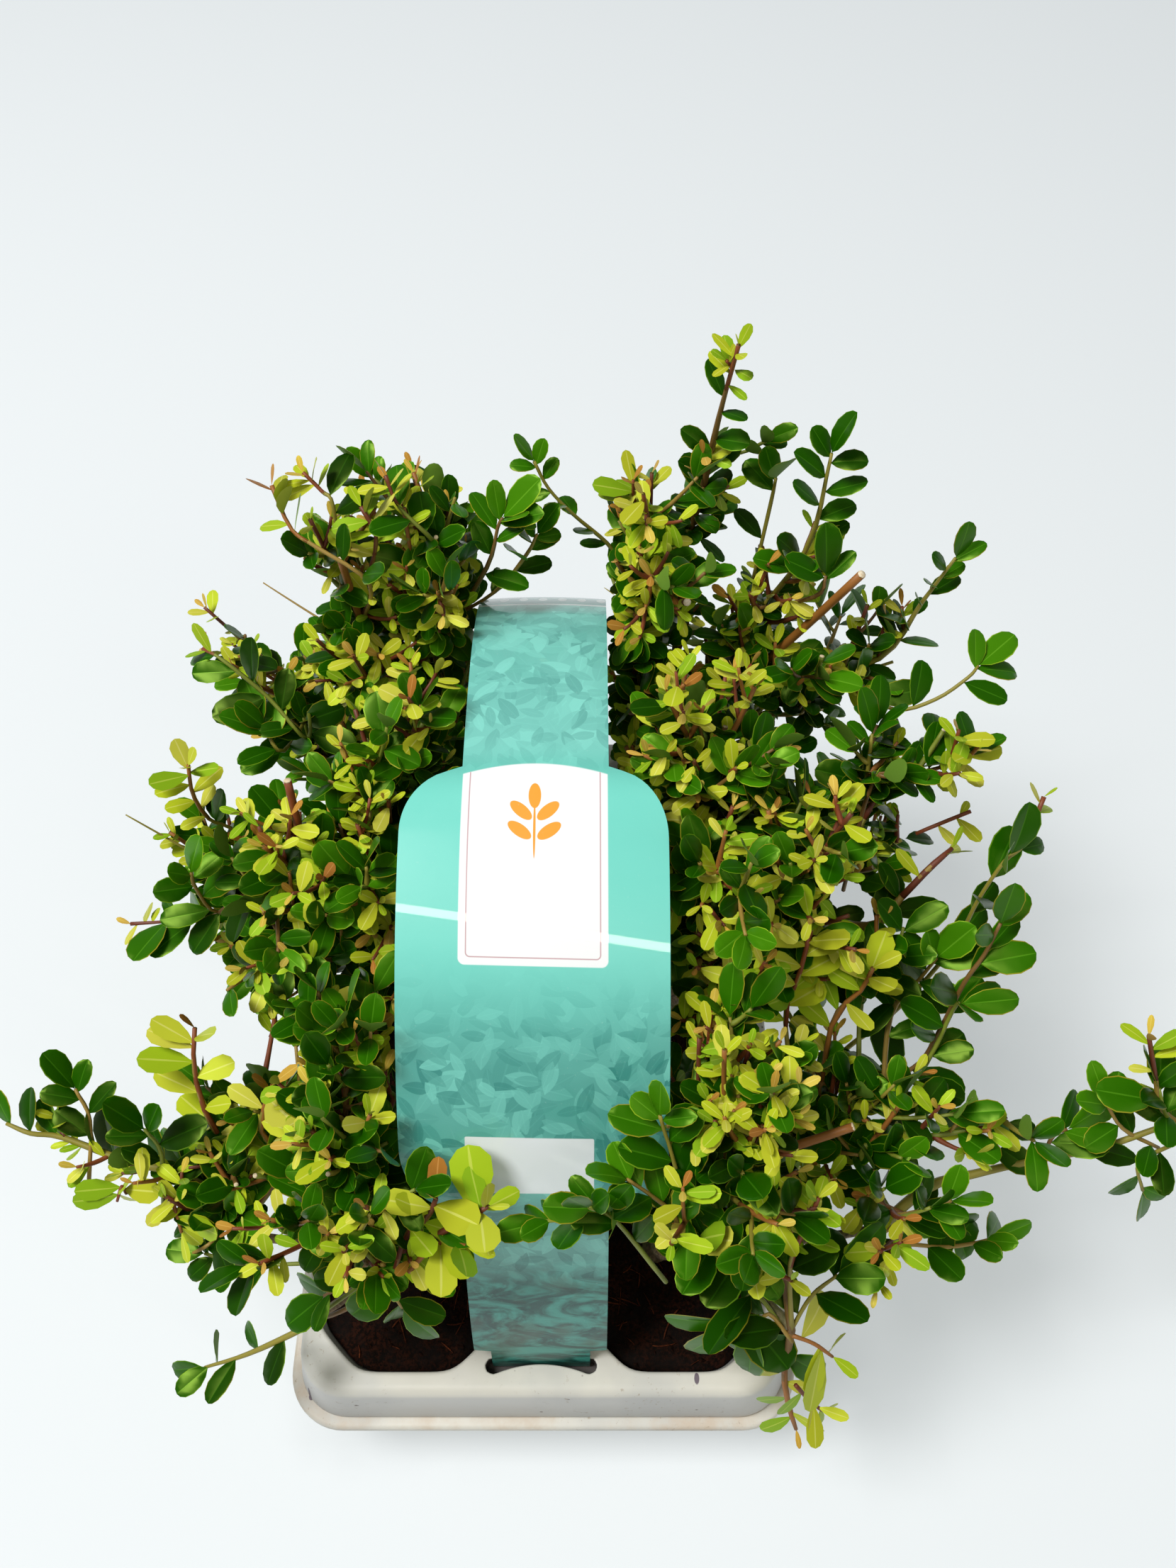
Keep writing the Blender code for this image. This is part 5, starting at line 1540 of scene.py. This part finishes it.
# every leaf of one kind as arrays: a flat outline folded along its rib, bent back towards its tip and twisted
def leafMesh(kind, own):
    shape = leafShape[kind]
    along, half, columns = (np.array(shape[key]) for key in ("along", "half", "columns"))
    s, c = len(along), len(columns)
    place, way, face, chance = (np.array([leaf[k] for leaf in own]) for k in (2, 3, 4, 6))
    length = np.array([leaf[5] for leaf in own])[:, None]
    sideways = unit(np.cross(way, face))
    lift = np.cross(sideways, way)
    slim = leafShape["slim"]
    if kind != "mature":
        broader = leafShape["youngBroader"] * (length - grow["youngLeaf"])
        slim = np.clip(leafShape["youngSlim"] + broader, 0.34, 0.62)
    wide = length * slim * (1 + 0.16 * chance[:, :1]) / 2
    # shares along and across, and half the width, at the points above, on the line below and at both ends
    u = np.concatenate([np.repeat(along, c), along, [0.0, 1.0]])[None]
    v = np.concatenate([np.tile(columns, s), np.zeros(s), [0, 0]])[None]
    h = np.concatenate([np.repeat(half, c), half, [0, 0]])[None]
    isUnder = np.concatenate([np.zeros(s * c), np.ones(s), [0, 0]])[None]
    isInner = (np.abs(v) < 0.99) * (1 - isUnder)
    u = u + 0.02 * chance[:, 1:2] * v * np.sin(math.pi * u)
    x = v * h * wide
    fold = shape["fold"][0] + shape["fold"][1] * chance[:, 1:2]
    bend = 0.12 + 0.18 * chance[:, 2:3]
    twist = 0.35 * chance[:, 3:4] * u
    z = np.abs(x) * fold - bend * length * u**2 * 0.5 + x * twist
    z = z + leafShape["thick"] * (isInner * 0.5 - isUnder * 0.5) * np.minimum(1, h + 0.3)
    y = u * length * (1 - 0.05 * bend)
    points = place[:, None] + sideways[:, None] * x[..., None] + way[:, None] * y[..., None]
    points = points + lift[:, None] * z[..., None]
    quads, tris, quadPart, triPart = leafFaces(s, shape["parts"])
    offset = (np.arange(len(own)) * points.shape[1])[:, None, None]
    return points, quads[None] + offset, tris[None] + offset, quadPart, triPart


# tones dealt out by spray, from dark to light: blade, rib and, on mature leaves, margin. The mature tones are
# partly painted shade, darkest for leaves deep in the crown
leafTones = {
    "mature": [
        ((11, 46, 0), (28, 68, 5), (72, 104, 18)), ((17, 62, 0), (38, 84, 8), (110, 110, 24)),
        ((26, 78, 0), (50, 104, 12), (98, 134, 24)), ((40, 96, 2), (66, 122, 18), (134, 128, 32)),
        ((60, 118, 6), (86, 142, 26), (132, 164, 34)), ((92, 144, 14), (118, 164, 36), (158, 182, 42)),
    ],
    "young": [
        ((172, 184, 36), (194, 200, 84)), ((150, 176, 30), (178, 192, 72)), ((186, 192, 52), (204, 206, 98)),
        ((126, 162, 26), (162, 184, 64)), ((192, 190, 68), (208, 204, 108)), ((166, 170, 38), (190, 192, 86)),
    ],
    "bronze": [
        ((188, 148, 58), (206, 170, 84)), ((172, 122, 50), (194, 146, 74)), ((198, 170, 66), (216, 190, 96)),
        ((160, 104, 44), (186, 130, 68)), ((194, 156, 70), (210, 178, 96)), ((206, 182, 80), (220, 198, 108)),
    ],
}
# colour of the lower face, then roughness and shine of the upper one
leafSheen = {
    "mature": ((102, 138, 48), 0.33, 0.42), "young": ((180, 188, 70), 0.42, 0.35),
    "bronze": ((190, 150, 74), 0.45, 0.30),
}
waxTint = (0.66, 1.0, 0.14, 1.0)  # the leaf's wax shines back warm green


# a plain surface of one colour
def plainFinish(name, colour, rough, **fixed):
    return Finish(name, **{"Base Color": tint(*colour), "Roughness": rough, **fixed}).material


# the finish of a leaf's part, with a waxy shine
def leafFinish(name, colour, rough, shine):
    return plainFinish(name, colour, rough, **{"Specular IOR Level": shine, "Specular Tint": waxTint})


sheets = {}
for kind, tones in leafTones.items():
    below, rough, shine = leafSheen[kind]
    sheets[kind] = [leafFinish(f"{kind} {part} {number}", colour, rough, shine)
                    for number, tone in enumerate(tones, 1)
                    for part, colour in zip(("blade", "rib", "margin"), tone)]
    sheets[kind].append(leafFinish(f"{kind} underside", below, 0.6, 0.2))


# the leaves of one kind in some groups, as one piece
def addLeafPiece(name, kind, groups, *nodes):
    own = [leaf for leaf in leaves[kind] if leaf[0] in groups]
    points, quads, tris, quadPart, triPart = leafMesh(kind, own)
    perTone = len(leafTones[kind][0])
    tone = np.array([leaf[1] for leaf in own])[:, None]
    last = len(sheets[kind]) - 1
    slots = [np.where(part == underside, last, tone * perTone + np.minimum(part, perTone - 1)).ravel()
             for part in (quadPart, triPart)]
    piece = makePiece(name, points, quads, tris, sheets[kind], *slots, sharpAngle=60)
    settle(piece, "foliage", *nodes)
    print("leaves", name, sum(len(p.vertices) - 2 for p in piece.data.polygons))


# the numbers of the cells on one side
def groupsOf(side):
    return [k for k, cell in enumerate(cells) if cell[0] == side]


for group, (side, row) in enumerate(cells):
    own = [f"leaves_{mass[0]}" for mass in masses if mass[1:3] == (side, row)]
    addLeafPiece(f"matureLeaves_{side}_{row}", "mature", [group], *own)
for side in sides:
    for kind in ("young", "bronze"):
        addLeafPiece(f"{kind}Leaves_{side}", kind, groupsOf(side))

# green to brown twigs and red young ones: plain colours, dealt out in turn
twigTones = {
    "old": {"twig olive": (136, 126, 42), "twig brown": (116, 84, 36), "twig green": (118, 128, 36),
            "twig tan": (148, 120, 50)},
    "young": {"shoot red": (124, 60, 24), "shoot rust": (146, 92, 34), "shoot wine": (104, 48, 24)},
}
for kind, tones in twigTones.items():
    finishes = [plainFinish(name, colour, 0.55) for name, colour in tones.items()]
    for side in sides:
        own = [twig for twig in twigs[kind] if twig[0] in groupsOf(side)]
        meshes, quadSlots, triSlots = [], [], []
        for stations in sorted({len(twig[1]) for twig in own}):
            same = [twig for twig in own if len(twig[1]) == stations]
            mesh = tubes(np.array([twig[1] for twig in same]), np.array([twig[2] for twig in same]), 6)
            meshes.append(mesh)
            tone = np.arange(len(same)) % len(tones)
            quadSlots.append(np.repeat(tone, len(mesh[1]) // len(same)))
            triSlots.append(np.repeat(tone, len(mesh[2]) // len(same)))
        slots = np.concatenate(quadSlots), np.concatenate(triSlots)
        piece = makePiece(f"{kind}Twigs_{side}", *together(meshes), finishes, *slots)
        settle(piece, "bark")
        print("twigs", piece.name, len(piece.data.polygons))

# pale discs on the clipped twigs
cutPaths, cutRadii = np.array([cut[0] for cut in cuts]), np.array([[cut[1]] * 3 for cut in cuts])
cutMesh = tubes(cutPaths, cutRadii * [0.98, 0.98, 0.90], 8)
cutFinish = soilFinish("cut wood", (206, 186, 150), (232, 220, 196), 0.0002)
settle(makePiece("clippedEnds", *cutMesh, [cutFinish]), "bark")
